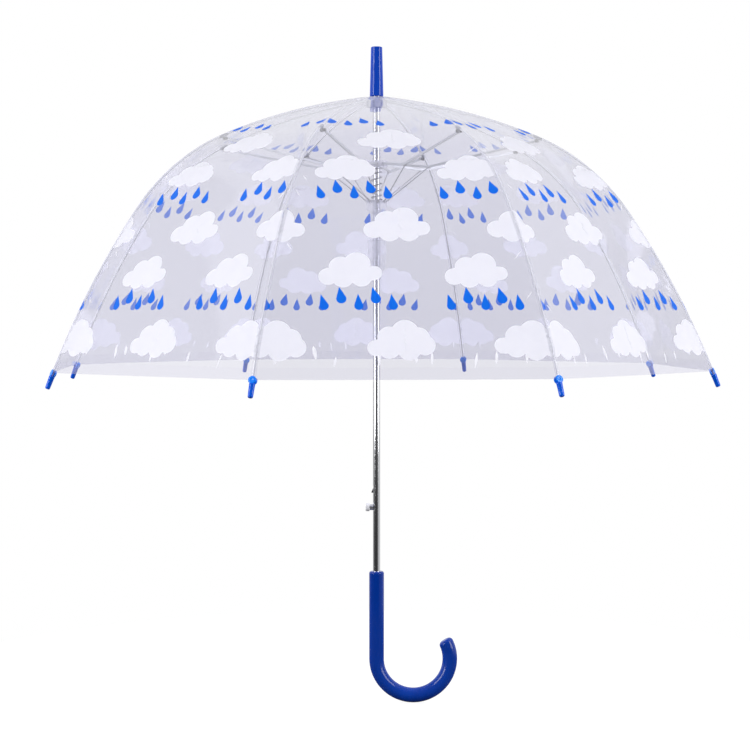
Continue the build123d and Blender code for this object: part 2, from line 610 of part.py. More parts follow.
def strut():
    """Wire from the runner to the stretcher, with an eye at both ends and a rivet in the outer one."""
    (x0, z0), (x1, z1) = RUNNER_PIVOT, STRUT_PIVOT
    low_y, high_y = STRUT_Y - STRUT_WIRE_RADIUS, STRUT_Y + STRUT_WIRE_RADIUS
    path = Line((x0, STRUT_Y, z0), (x1, STRUT_Y, z1))
    wire = sweep(Plane(origin=path @ 0, z_dir=path % 0) * Circle(STRUT_WIRE_RADIUS), path=path)
    wire += cross_pin(STRUT_PIVOT, STRUT_EYE_RADIUS, low_y, high_y)
    wire += cross_pin(RUNNER_PIVOT, STRUT_EYE_RADIUS, low_y, high_y)
    wire -= ring_hole(RUNNER_PIVOT, RUNNER_RING_RADIUS, STRUT_Y, 2 * STRUT_WIRE_RADIUS)
    wire -= cross_pin(STRUT_PIVOT, RIVET_RADIUS, low_y, high_y)
    return [wire, rivet(STRUT_PIVOT, low_y, high_y)]


def film_outline(above, y):
    """Edges of one face of the film in a rib's plane, from the hem to the shaft."""
    arcs = rib_path(RIB_TOP_LENGTH, HEM_AT, above)
    joint = rib_point(RIB_TOP_LENGTH, above)
    apex = (FILM_HOLE_RADIUS, FILM_APEX_Z + above - ROD_RADIUS - FILM_ABOVE_ROD)
    heading = radians(rib_heading(RIB_TOP_LENGTH))
    top = TangentArc(*in_plane([joint, apex]), tangent=(-cos(heading), 0, sin(heading)))
    return [Pos(0, y, 0) * edge for edge in [top] + arcs], (apex, rib_point(HEM_AT, above))


def film_section(y):
    """Cross-section of the film in a plane parallel to a rib's plane."""
    inside = ROD_RADIUS + FILM_ABOVE_ROD
    low_edges, (low_apex, low_hem) = film_outline(inside, y)
    high_edges, (high_apex, high_hem) = film_outline(inside + FILM_THICKNESS, y)
    closing = [Line(*in_plane([low_apex, high_apex], y)), Line(*in_plane([low_hem, high_hem], y))]
    return make_face(low_edges + high_edges + closing)


def canopy_panel():
    """Film between two ribs, straight across from rib to rib."""
    first = film_section(FILM_SEAM)
    second = Rot(0, 0, RIB_PITCH) * film_section(-FILM_SEAM)
    return [loft([first, second], ruled=True)]


SINGLE_NODES = {
    "handle": handle,
    "shaft": shaft,
    "latch_lever": latch_lever,
    "release_button": release_button,
    "crown": crown,
    "crown_wire": crown_wire,
    "top_washer": top_washer,
    "ferrule": ferrule,
    "buffer_spring": buffer_spring,
    "main_spring": main_spring,
    "upper_hub": upper_hub,
    "lower_runner": lower_runner,
}
RIB_NODES = {
    "rib_{}_inner": rib_inner,
    "rib_{}_outer": rib_outer,
    "rib_{}_tip": rib_tip,
    "stretcher_{}": stretcher,
    "strut_{}": strut,
    "canopy_panel_{}": canopy_panel,
}


def as_solids(pieces):
    """All solids of a list of shapes."""
    return [solid for piece in pieces for solid in piece.solids()]


def write(node, pieces):
    """Write one node's solids to its STEP file."""
    solids = as_solids(pieces)
    shape = solids[0] if len(solids) == 1 else Compound(children=solids)
    export_step(shape, f"parts/{node}.step")


def main():
    """Build every node and write it."""
    os.makedirs("parts", exist_ok=True)
    for node, build in SINGLE_NODES.items():
        write(node, build())
    for pattern, build in RIB_NODES.items():
        pieces = build()
        for index in range(RIB_COUNT):
            turn = Rot(0, 0, FIRST_RIB_AZIMUTH + index * RIB_PITCH)
            write(pattern.format(index + 1), [turn * piece for piece in as_solids(pieces)])


main()
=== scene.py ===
"""Dressed model of a clear dome umbrella with a crook handle.

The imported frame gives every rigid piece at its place. This script gives those pieces their
finishes and adds what they carry: the film canopy with its print, tapes and hem, the fine
parts of the ribs, and the studio that the umbrella stands in. All lengths are in metres.
"""
from __future__ import annotations

import logging
import math
from dataclasses import dataclass, field
from enum import Enum

import bmesh
import bpy
import numpy as np
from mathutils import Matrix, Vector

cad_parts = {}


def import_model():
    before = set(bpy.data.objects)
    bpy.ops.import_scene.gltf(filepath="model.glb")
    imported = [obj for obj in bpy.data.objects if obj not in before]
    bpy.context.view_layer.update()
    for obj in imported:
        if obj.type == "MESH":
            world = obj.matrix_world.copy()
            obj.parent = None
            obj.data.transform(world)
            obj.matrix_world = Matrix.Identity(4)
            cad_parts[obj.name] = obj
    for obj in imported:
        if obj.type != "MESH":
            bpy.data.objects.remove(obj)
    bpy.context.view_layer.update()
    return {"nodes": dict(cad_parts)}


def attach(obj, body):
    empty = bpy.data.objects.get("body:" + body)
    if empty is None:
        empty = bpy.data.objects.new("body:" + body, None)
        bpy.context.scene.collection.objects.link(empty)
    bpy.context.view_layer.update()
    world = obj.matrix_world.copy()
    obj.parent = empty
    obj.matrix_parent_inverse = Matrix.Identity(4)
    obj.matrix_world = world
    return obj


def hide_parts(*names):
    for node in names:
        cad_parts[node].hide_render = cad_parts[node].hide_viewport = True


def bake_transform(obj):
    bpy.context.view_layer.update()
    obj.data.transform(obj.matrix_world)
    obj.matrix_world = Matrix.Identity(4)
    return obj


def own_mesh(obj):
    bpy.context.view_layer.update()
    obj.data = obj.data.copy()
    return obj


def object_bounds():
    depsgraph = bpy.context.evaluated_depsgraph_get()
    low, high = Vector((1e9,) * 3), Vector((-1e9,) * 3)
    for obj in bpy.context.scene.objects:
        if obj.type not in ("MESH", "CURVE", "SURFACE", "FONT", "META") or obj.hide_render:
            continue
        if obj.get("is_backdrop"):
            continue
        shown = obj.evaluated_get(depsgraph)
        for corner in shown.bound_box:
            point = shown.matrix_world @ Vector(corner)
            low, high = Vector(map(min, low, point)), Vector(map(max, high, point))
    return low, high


LOG = logging.getLogger("umbrella")
MM = 0.001
UP = np.array([0.0, 0.0, 1.0])
# Radius and height of the rivets that join the stretchers to the ribs' clips.
RIVET_AT = (0.20665, 0.7090)


def srgb(red: float, green: float, blue: float) -> tuple[float, float, float, float]:
    """Turn a display colour into a linear one.

    Args:
        red: Red from 0 to 255.
        green: Green from 0 to 255.
        blue: Blue from 0 to 255.

    Returns:
        Linear red, green, blue and an alpha of 1.
    """
    channels = []
    for value in (red, green, blue):
        share = value / 255
        channels.append(share / 12.92 if share <= 0.04045 else ((share + 0.055) / 1.055) ** 2.4)
    return (*channels, 1.0)


# ---------------------------------------------------------------- meshes

def level_axes(azimuth: float) -> tuple[np.ndarray, np.ndarray]:
    """Level directions at an azimuth: outwards, and a quarter turn on from it."""
    cosine, sine = math.cos(azimuth), math.sin(azimuth)
    return np.array([cosine, sine, 0.0]), np.array([-sine, cosine, 0.0])


def grid_faces(rows: int, columns: int, wrap: bool = False) -> np.ndarray:
    """Quads that join a grid of points row by row.

    Args:
        rows: Points along the first parameter.
        columns: Points along the second parameter.
        wrap: Whether the last column joins the first.

    Returns:
        An array of vertex numbers, four for each quad.
    """
    last = columns if wrap else columns - 1
    row, column = np.meshgrid(np.arange(rows - 1), np.arange(last), indexing="ij")
    beside = (column + 1) % columns
    corners = [row * columns + column, (row + 1) * columns + column,
               (row + 1) * columns + beside, row * columns + beside]
    return np.stack(corners, axis=-1).reshape(-1, 4)


def revolved(profile: tuple | list, origin: np.ndarray, axis: np.ndarray, side: np.ndarray,
             count: int = 40) -> np.ndarray:
    """Grid of a turned shape.

    Args:
        profile: Distance along the axis and radius of each ring, in millimetres.
        origin: Point that the distances count from.
        axis: Direction of the axis, of length 1.
        side: Direction square to it, of length 1.
        count: Points on a ring.

    Returns:
        Points, as rings by count by 3.
    """
    angle = np.linspace(0.0, 2 * math.pi, count, endpoint=False)
    ring = np.cos(angle)[:, None] * side + np.sin(angle)[:, None] * np.cross(axis, side)
    along, radius = (np.array(profile) * MM).T
    return origin + along[:, None, None] * axis + radius[:, None, None] * ring


def tube(line: np.ndarray, radius: float, binormal: np.ndarray, count: int = 12) -> np.ndarray:
    """Grid of a round tube along a line, its rings turned by a fixed direction off the line.

    Args:
        line: Points of the middle line.
        radius: Radius of the tube.
        binormal: One direction, or one for each point, roughly square to the line.
        count: Points on a ring.

    Returns:
        Points, as rings by count by 3.
    """
    along = np.gradient(line, axis=0)
    along = along / np.linalg.norm(along, axis=1, keepdims=True)
    normal = np.cross(np.broadcast_to(binormal, line.shape), along)
    normal = normal / np.linalg.norm(normal, axis=1, keepdims=True)
    across = np.cross(along, normal)
    angle = np.linspace(0.0, 2 * math.pi, count, endpoint=False)[None, :, None]
    ring = np.cos(angle) * normal[:, None, :] + np.sin(angle) * across[:, None, :]
    return line[:, None, :] + radius * ring


@dataclass
class Surface:
    """Meshes gathered into one piece, each with its own finish and UV map."""

    name: str
    points: list[np.ndarray] = field(default_factory=list)
    faces: list[np.ndarray] = field(default_factory=list)
    uvs: list[np.ndarray] = field(default_factory=list)
    slots: list[np.ndarray] = field(default_factory=list)

    def add_grid(self, grid: np.ndarray, uv: np.ndarray | None = None, slot: int = 0,
                 wrap: bool = False, flip: bool = False) -> None:
        """Add a grid of points as a surface.

        Args:
            grid: Points, as rows by columns by 3.
            uv: Map coordinates, as rows by columns by 2.
            slot: Number of the finish.
            wrap: Whether the last column joins the first.
            flip: Whether the faces turn their other side outwards.
        """
        rows, columns = grid.shape[:2]
        quads = grid_faces(rows, columns, wrap)
        if flip:
            quads = quads[:, ::-1]
        start = sum(len(block) for block in self.points)
        flat = grid.reshape(-1, 3)
        self.points.append(flat)
        self.faces.append(quads + start)
        self.uvs.append(np.zeros((len(flat), 2)) if uv is None else uv.reshape(-1, 2))
        self.slots.append(np.full(len(quads), slot))

    def build(self, finishes: list[bpy.types.Material], merge: float = 1e-6) -> bpy.types.Object:
        """Make the object, join points that coincide and drop faces without area.

        Args:
            finishes: One material for each slot number.
            merge: Distance below which points are joined.

        Returns:
            The new object, linked to the scene.
        """
        points = np.concatenate(self.points)
        faces = np.concatenate(self.faces)
        uvs = np.concatenate(self.uvs)
        slots = np.concatenate(self.slots)
        corners = points[faces]
        twice_area = np.cross(corners[:, 2] - corners[:, 0], corners[:, 3] - corners[:, 1])
        solid = np.linalg.norm(twice_area, axis=1) > 1e-10
        faces, slots = faces[solid], slots[solid]
        mesh = bpy.data.meshes.new(self.name)
        mesh.from_pydata(points.tolist(), [], faces.tolist())
        mesh.polygons.foreach_set("material_index", slots.astype(np.int32))
        mesh.polygons.foreach_set("use_smooth", np.ones(len(faces), dtype=bool))
        layer = mesh.uv_layers.new(name="UVMap")
        layer.data.foreach_set("uv", uvs[faces.reshape(-1)].astype(np.float32).reshape(-1))
        for finish in finishes:
            mesh.materials.append(finish)
        work = bmesh.new()
        work.from_mesh(mesh)
        bmesh.ops.remove_doubles(work, verts=work.verts, dist=merge)
        loose = [vertex for vertex in work.verts if not vertex.link_faces]
        bmesh.ops.delete(work, geom=loose, context="VERTS")
        work.to_mesh(mesh)
        work.free()
        made = bpy.data.objects.new(self.name, mesh)
        bpy.context.scene.collection.objects.link(made)
        return made


# ---------------------------------------------------------------- shader maths

class Signal:
    """Number that varies over a surface; arithmetic on it adds Math nodes."""

    def __init__(self, graph: "Graph", socket: bpy.types.NodeSocket) -> None:
        """Keep the graph and the socket that the number comes from."""
        self.graph = graph
        self.socket = socket

    def maths(self, operation: str, *values: "Signal | float") -> "Signal":
        """Apply a Math node's operation.

        Args:
            operation: Name of the operation.
            values: Its inputs, in order.

        Returns:
            The result.
        """
        made = self.graph.node("ShaderNodeMath", {"operation": operation}, dict(enumerate(values)))
        return Signal(self.graph, made.outputs[0])

    def __add__(self, other: "Signal | float") -> "Signal":
        """Return the sum."""
        return self.maths("ADD", self, other)

    __radd__ = __add__

    def __sub__(self, other: "Signal | float") -> "Signal":
        """Return the difference."""
        return self.maths("SUBTRACT", self, other)

    def __rsub__(self, other: float) -> "Signal":
        """Return the difference, taken from the other number."""
        return self.maths("SUBTRACT", other, self)

    def __mul__(self, other: "Signal | float") -> "Signal":
        """Return the product."""
        return self.maths("MULTIPLY", self, other)

    __rmul__ = __mul__

    def __truediv__(self, other: "Signal | float") -> "Signal":
        """Return the quotient."""
        return self.maths("DIVIDE", self, other)

    def __pow__(self, other: float) -> "Signal":
        """Return the power."""
        return self.maths("POWER", self, other)

    def eased(self, low: float, high: float) -> "Signal":
        """Rise smoothly from 0 at low to 1 at high."""
        made = self.graph.node("ShaderNodeMapRange", {"interpolation_type": "SMOOTHSTEP"},
                               {0: self, 1: low, 2: high, 3: 0.0, 4: 1.0})
        return Signal(self.graph, made.outputs[0])


class Graph:
    """Node tree under construction."""

    def __init__(self, tree: bpy.types.NodeTree) -> None:
        """Take a tree and empty it."""
        self.tree = tree
        tree.nodes.clear()

    def node(self, kind: str, settings: dict | None = None,
             inputs: dict | None = None) -> bpy.types.Node:
        """Add a node, set it up and give its sockets their values or links.

        Args:
            kind: Type of the node.
            settings: Properties to set first; "stops" holds a ramp's (place, colour) pairs.
            inputs: Value, socket or Signal for each input, by name or number.

        Returns:
            The node.
        """
        made = self.tree.nodes.new(kind)
        for key, value in (settings or {}).items():
            if key == "stops":
                ramp = made.color_ramp
                ramp.elements[0].position, ramp.elements[0].color = value[0]
                ramp.elements[1].position, ramp.elements[1].color = value[-1]
                for place, colour in value[1:-1]:
                    ramp.elements.new(place).color = colour
            else:
                setattr(made, key, value)
        for key, value in (inputs or {}).items():
            if isinstance(value, Signal):
                self.tree.links.new(value.socket, made.inputs[key])
            elif isinstance(value, bpy.types.NodeSocket):
                self.tree.links.new(value, made.inputs[key])
            else:
                made.inputs[key].default_value = value
        return made

    def place(self) -> bpy.types.NodeSocket:
        """Object coordinates."""
        return self.node("ShaderNodeTexCoord").outputs["Object"]

    def scaled_place(self, scale: tuple[float, float, float]) -> bpy.types.NodeSocket:
        """Object coordinates stretched by a factor along each axis."""
        inputs = {"Vector": self.place(), "Scale": scale}
        return self.node("ShaderNodeMapping", None, inputs).outputs[0]

    def axes(self, vector: bpy.types.NodeSocket) -> tuple[Signal, Signal, Signal]:
        """Split a vector into three numbers."""
        made = self.node("ShaderNodeSeparateXYZ", None, {0: vector})
        return tuple(Signal(self, socket) for socket in made.outputs)

    def noise(self, vector: bpy.types.NodeSocket, scale: float, detail: float = 2.0,
              roughness: float = 0.5) -> Signal:
        """Noise from 0 to 1.

        Args:
            vector: Place to read it at.
            scale: Cells in a unit of length.
            detail: Number of octaves.
            roughness: Weight of the finer octaves.

        Returns:
            The noise.
        """
        made = self.node("ShaderNodeTexNoise", None, {
            "Vector": vector, "Scale": scale, "Detail": detail, "Roughness": roughness})
        return Signal(self, made.outputs[0])

    def blend(self, share: Signal | float, first: object, second: object) -> bpy.types.NodeSocket:
        """Mix two colours.

        Args:
            share: Share of the second colour.
            first: Colour or socket where the share is 0.
            second: Colour or socket where the share is 1.

        Returns:
            The mixed colour.
        """
        made = self.node("ShaderNodeMix", {"data_type": "RGBA"}, {0: share, 6: first, 7: second})
        return made.outputs[2]

    def bump(self, height: Signal, distance: float, strength: float = 1.0) -> bpy.types.NodeSocket:
        """Normal that follows a height.

        Args:
            height: Height from 0 to 1.
            distance: Depth of a height of 1, in metres.
            strength: Share of the effect.

        Returns:
            The normal.
        """
        inputs = {"Height": height, "Distance": distance, "Strength": strength}
        return self.node("ShaderNodeBump", None, inputs).outputs[0]

    def through(self, kind: str, colour: tuple) -> bpy.types.NodeSocket:
        """Shader that passes light on: straight on if Transparent, scattered if Translucent."""
        return self.node(f"ShaderNodeBsdf{kind}", None, {"Color": colour}).outputs[0]

    def principled(self, inputs: dict) -> bpy.types.NodeSocket:
        """Principled shader with the given inputs."""
        return self.node("ShaderNodeBsdfPrincipled", None, inputs).outputs[0]

    def mix_shaders(self, share: Signal | float, first: bpy.types.NodeSocket,
                    second: bpy.types.NodeSocket) -> bpy.types.NodeSocket:
        """Mix two shaders.

        Args:
            share: Share of the second shader.
            first: Shader where the share is 0.
            second: Shader where the share is 1.

        Returns:
            The mixed shader.
        """
        return self.node("ShaderNodeMixShader", None, {0: share, 1: first, 2: second}).outputs[0]

    def finish(self, shader: bpy.types.NodeSocket) -> None:
        """Connect a shader to the material's output."""
        self.node("ShaderNodeOutputMaterial", None, {"Surface": shader})


def new_material(name: str) -> tuple[bpy.types.Material, Graph]:
    """Make an empty node material.

    Args:
        name: Name of the material.

    Returns:
        The material and the graph that fills it.
    """
    material = bpy.data.materials.new(name)
    material.use_nodes = True
    return material, Graph(material.node_tree)


# ---------------------------------------------------------------- finishes

@dataclass(frozen=True)
class GlossPlastic:
    """Moulded glossy plastic: even colour with faint flow marks and a soft orange-peel surface."""

    name: str
    colour: tuple
    flow_colour: tuple
    roughness: float = 0.16
    flow_scale: float = 38.0
    flow_stretch: tuple = (1.0, 1.0, 0.25)
    scuff_scale: float = 900.0
    scuff_roughness: float = 0.09
    peel_scale: float = 420.0
    peel_depth: float = 0.00002
    shine: float = 0.22
    coat: float = 0.16
    coat_roughness: float = 0.06
    flow_edge: tuple[float, float] = (0.35, 0.75)
    scuff_edge: tuple[float, float] = (0.55, 0.8)

    def material(self) -> bpy.types.Material:
        """Build the material.

        Returns:
            The new material.
        """
        material, graph = new_material(self.name)
        flow = graph.noise(graph.scaled_place(self.flow_stretch), self.flow_scale, 3.0, 0.6)
        colour = graph.blend(flow.eased(*self.flow_edge), self.colour, self.flow_colour)
        scuff = graph.noise(graph.place(), self.scuff_scale, 4.0, 0.7)
        roughness = self.roughness + scuff.eased(*self.scuff_edge) * self.scuff_roughness
        peel = graph.noise(graph.place(), self.peel_scale)
        graph.finish(graph.principled({
            "Base Color": colour, "Roughness": roughness, "Coat Weight": self.coat,
            "Coat Roughness": self.coat_roughness, "Specular IOR Level": self.shine,
            "Normal": graph.bump(peel, self.peel_depth)}))
        return material


@dataclass(frozen=True)
class DrawnSteel:
    """Steel with fine marks along Z, from bright chrome to dark wire."""

    name: str
    colour: tuple
    worn_colour: tuple
    roughness: float = 0.1
    mark_scale: float = 2400.0
    mark_depth: float = 0.0000006
    stretch: float = 0.01
    mark_roughness: float = 0.05
    blotch_scale: float = 90.0
    blotch_edge: tuple[float, float] = (0.55, 0.85)
    blotch_roughness: float = 0.1
    worn_edge: tuple[float, float] = (0.5, 0.8)
    worn_share: float = 0.5
    metal: float = 1.0
    rivet_at: tuple | None = None
    rivet_radius: float = 0.0021
    rivet_colour: tuple = (0.05, 0.05, 0.055, 1.0)

    def material(self) -> bpy.types.Material:
        """Build the material.

        Returns:
            The new material.
        """
        material, graph = new_material(self.name)
        marks = graph.noise(graph.scaled_place((1.0, 1.0, self.stretch)), self.mark_scale, 3.0, 0.6)
        blotch = graph.noise(graph.place(), self.blotch_scale, 4.0, 0.65)
        worn = blotch.eased(*self.worn_edge) * self.worn_share
        colour = graph.blend(worn, self.colour, self.worn_colour)
        blotched = blotch.eased(*self.blotch_edge) * self.blotch_roughness
        roughness = self.roughness + marks * self.mark_roughness + blotched
        if self.rivet_at:
            east, north, up = graph.axes(graph.place())
            outward = (east ** 2 + north ** 2) ** 0.5 - self.rivet_at[0]
            off = (outward ** 2 + (up - self.rivet_at[1]) ** 2) ** 0.5
            on_rivet = 1.0 - off.eased(self.rivet_radius * 0.95, self.rivet_radius)
            colour = graph.blend(on_rivet, colour, self.rivet_colour)
        graph.finish(graph.principled({
            "Base Color": colour, "Metallic": self.metal, "Roughness": roughness,
            "Normal": graph.bump(marks, self.mark_depth)}))
        return material


@dataclass(frozen=True)
class MilkyPlastic:
    """Translucent moulded plastic, milky inside, with faint sink marks."""

    name: str
    colour: tuple
    deep_colour: tuple
    clearness: float = 0.25
    glow: float = 0.45
    roughness: float = 0.28
    cloud_scale: float = 110.0
    deep_edge: tuple[float, float] = (0.35, 0.7)
    most_clear: float = 1.2
    clear_fall: float = 0.4
    grain_scale: float = 1500.0
    grain_depth: float = 0.00001
    grain_roughness: float = 0.08

    def material(self) -> bpy.types.Material:
        """Build the material.

        Returns:
            The new material.
        """
        material, graph = new_material(self.name)
        cloudy = graph.noise(graph.place(), self.cloud_scale, 3.0, 0.6)
        colour = graph.blend(cloudy.eased(*self.deep_edge), self.colour, self.deep_colour)
        grain = graph.noise(graph.place(), self.grain_scale)
        solid = graph.principled({
            "Base Color": colour, "Roughness": self.roughness + grain * self.grain_roughness,
            "Normal": graph.bump(grain, self.grain_depth)})
        body = graph.mix_shaders(self.glow, solid, graph.through("Translucent", self.colour))
        clear = graph.through("Transparent", self.colour)
        share = self.clearness * (self.most_clear - cloudy * self.clear_fall)
        graph.finish(graph.mix_shaders(share, body, clear))
        return material


@dataclass(frozen=True)
class ClearFilm:
    """Thin clear film: a lavender tint, a little haze, the shine of a smooth sheet and, seen
    edge-on, a painted sheen.

    The share that it reflects is the same from both sides: a small one head-on, growing with the
    fifth power of the slant, times the shine. It stays under a limit, because a sheet that slants
    away is never quite smooth.
    """

    name: str
    tint: tuple = (0.808, 0.806, 0.866, 1.0)
    edge_on_tint_and_sheen: tuple = (0.86, 0.858, 0.91, 1.0)
    haze_colour: tuple = srgb(232, 232, 243)
    haze: float = 0.1
    least_haze: float = 0.7
    haze_swing: float = 0.6
    rim_haze_and_sheen: float = 0.42
    rim_power: float = 3.0
    head_on: float = 0.04
    shine: float = 1.5
    most_shine: float = 0.34
    roughness: float = 0.05
    wave_scale: float = 14.0
    wave_weight: float = 3.0
    fine_scale: float = 160.0
    wave_depth: float = 0.00006

    def material(self) -> bpy.types.Material:
        """Build the material.

        Returns:
            The new material.
        """
        material, graph = new_material(self.name)
        cloudy = graph.noise(graph.place(), self.wave_scale, 3.0, 0.55)
        fine = graph.noise(graph.place(), self.fine_scale)
        wave = graph.bump(fine + cloudy * self.wave_weight, self.wave_depth, 0.6)
        weight = graph.node("ShaderNodeLayerWeight", None, {"Blend": 0.5, "Normal": wave})
        # Seen edge-on the sheet blends to its edge-on tint and gains rim haze; on the canopy film
        # both make the outline lighter, a painted sheen for the light it reflects there, over the
        # real haze of a longer path.
        slant = Signal(graph, weight.outputs["Facing"])
        rim = slant ** self.rim_power
        clear = graph.mix_shaders(rim, graph.through("Transparent", self.tint),
                                  graph.through("Transparent", self.edge_on_tint_and_sheen))
        milk = graph.principled({"Base Color": self.haze_colour, "Roughness": 0.5, "Normal": wave})
        veil = graph.mix_shaders(0.5, milk, graph.through("Translucent", self.haze_colour))
        haze = self.haze * (self.least_haze + cloudy * self.haze_swing) + self.rim_haze_and_sheen * rim
        body = graph.mix_shaders(haze, clear, veil)
        gloss = graph.node("ShaderNodeBsdfAnisotropic", None, {
            "Color": (1.0, 1.0, 1.0, 1.0), "Roughness": self.roughness, "Normal": wave}).outputs[0]
        share = self.shine * (self.head_on + (1.0 - self.head_on) * slant ** 5.0)
        share = share.maths("MINIMUM", share, self.most_shine)
        graph.finish(graph.mix_shaders(share, body, gloss))
        return material


@dataclass(frozen=True)
class PrintInk:
    """Screen-printed ink on film, also used for the painted glints: nearly opaque, lit through from
    behind, with a satin surface.
    """

    name: str
    colour: tuple
    thin_colour: tuple
    clearness: float = 0.05
    glow: float = 0.55
    roughness: float = 0.34
    shine: float = 0.35
    body_scale: float = 60.0
    thin_edge: tuple[float, float] = (0.3, 0.75)
    least_clear: float = 0.8
    clear_swing: float = 0.4
    mesh_scale: float = 1800.0
    mesh_depth: float = 0.000006
    mesh_roughness: float = 0.1

    def material(self) -> bpy.types.Material:
        """Build the material.

        Returns:
            The new material.
        """
        material, graph = new_material(self.name)
        body = graph.noise(graph.place(), self.body_scale, 4.0, 0.6)
        mesh_marks = graph.noise(graph.place(), self.mesh_scale)
        colour = graph.blend(body.eased(*self.thin_edge), self.colour, self.thin_colour)
        solid = graph.principled({
            "Base Color": colour, "Specular IOR Level": self.shine,
            "Roughness": self.roughness + mesh_marks * self.mesh_roughness,
            "Normal": graph.bump(mesh_marks, self.mesh_depth)})
        ink = graph.mix_shaders(self.glow, solid, graph.through("Translucent", self.colour))
        clear = graph.through("Transparent", self.thin_colour)
        share = self.clearness * (self.least_clear + body * self.clear_swing)
        graph.finish(graph.mix_shaders(share, ink, clear))
        return material


class Finish(Enum):
    """Every finish of the umbrella, by the place it is used in."""

    HANDLE = GlossPlastic("handle_blue", srgb(0, 50, 146), srgb(2, 56, 156))
    FERRULE = GlossPlastic("ferrule_blue", srgb(1, 58, 170), srgb(3, 63, 178), roughness=0.08,
                           peel_depth=0.000008)
    TIP_NOSE = GlossPlastic("tip_nose_blue", srgb(0, 84, 212), srgb(4, 92, 222))
    TIP_EYE = GlossPlastic("tip_eye_blue", srgb(10, 122, 246), srgb(26, 134, 250))
    BUTTON = GlossPlastic("button_white", srgb(236, 236, 238), srgb(226, 227, 231), roughness=0.22,
                          coat=0.2)
    CROWN = GlossPlastic("crown_white", srgb(226, 227, 232), srgb(214, 216, 224), roughness=0.3,
                         coat=0.1)
    SHAFT = DrawnSteel("shaft_chrome", (0.78, 0.79, 0.82, 1.0), (0.62, 0.63, 0.67, 1.0),
                       roughness=0.07)
    SPRING = DrawnSteel("spring_steel", (0.74, 0.75, 0.78, 1.0), (0.55, 0.56, 0.6, 1.0),
                        roughness=0.16)
    DARK = DrawnSteel("dark_steel", (0.12, 0.12, 0.13, 1.0), (0.2, 0.19, 0.19, 1.0),
                      roughness=0.3, metal=0.8)
    RIB = DrawnSteel("rib_rod", (0.95, 0.96, 0.96, 1.0), (0.86, 0.87, 0.88, 1.0),
                     roughness=0.3, metal=0.0)
    STRETCHER = DrawnSteel("stretcher_steel", (0.68, 0.69, 0.7, 1.0), (0.58, 0.59, 0.61, 1.0),
                           roughness=0.3, metal=0.35, rivet_at=RIVET_AT)
    RIVET = DrawnSteel("rivet_black", (0.05, 0.05, 0.055, 1.0), (0.1, 0.1, 0.1, 1.0),
                       roughness=0.35, metal=0.6)
    STRUT = DrawnSteel("strut_steel", (0.62, 0.62, 0.64, 1.0), (0.54, 0.54, 0.56, 1.0),
                       roughness=0.35, metal=0.2)
    COIL = DrawnSteel("coil_steel", (0.42, 0.42, 0.44, 1.0), (0.33, 0.33, 0.34, 1.0),
                      roughness=0.25)
    RUNNER = MilkyPlastic("runner_milky", srgb(250, 250, 252), srgb(242, 243, 248), clearness=0.7,
                          glow=0.6)
    BRACKET = MilkyPlastic("bracket_grey", srgb(196, 198, 206), srgb(176, 178, 188),
                           clearness=0.35)
    # Its edge-on tint is lighter than its tint: a painted sheen along the canopy's outline.
    FILM = ClearFilm("canopy_film")
    HEM = ClearFilm("hem_film", tint=(0.985, 0.982, 0.996, 1.0), edge_on_tint_and_sheen=(0.96, 0.96, 0.98, 1.0),
                    haze=0.01, rim_haze_and_sheen=0.05, shine=0.4)
    TAPE = ClearFilm("seam_tape", tint=(0.975, 0.975, 0.98, 1.0), edge_on_tint_and_sheen=(0.93, 0.93, 0.95, 1.0),
                     haze=0.14, shine=0.8, roughness=0.12)
    # Painted glints: white marks on the film that stand in for light caught by small folds near the
    # hem and seams.
    CREASE = PrintInk("painted_glint_white", srgb(252, 252, 254), srgb(246, 246, 252), clearness=0.08,
                      roughness=0.2)
    CLOUD_INK = PrintInk("cloud_white", srgb(247, 247, 251), srgb(244, 244, 250))
    DROP_INK = PrintInk("drop_blue", srgb(0, 113, 236), srgb(6, 119, 240), clearness=0.18, glow=0.4)


class Finishes:
    """Materials, each built the first time that it is asked for."""

    def __init__(self) -> None:
        """Start with none built."""
        self.built: dict[Finish, bpy.types.Material] = {}

    def get(self, finish: Finish) -> bpy.types.Material:
        """Material of a finish.

        Args:
            finish: The finish.

        Returns:
            Its material.
        """
        if finish not in self.built:
            self.built[finish] = finish.value.material()
        return self.built[finish]

    def dress(self, node: bpy.types.Object, finish: Finish) -> None:
        """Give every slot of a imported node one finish.

        Args:
            node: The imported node.
            finish: Its finish.
        """
        mesh = node.data
        if not mesh.materials:
            mesh.materials.append(None)
        for index in range(len(mesh.materials)):
            mesh.materials[index] = self.get(finish)


# ---------------------------------------------------------------- lines and surfaces

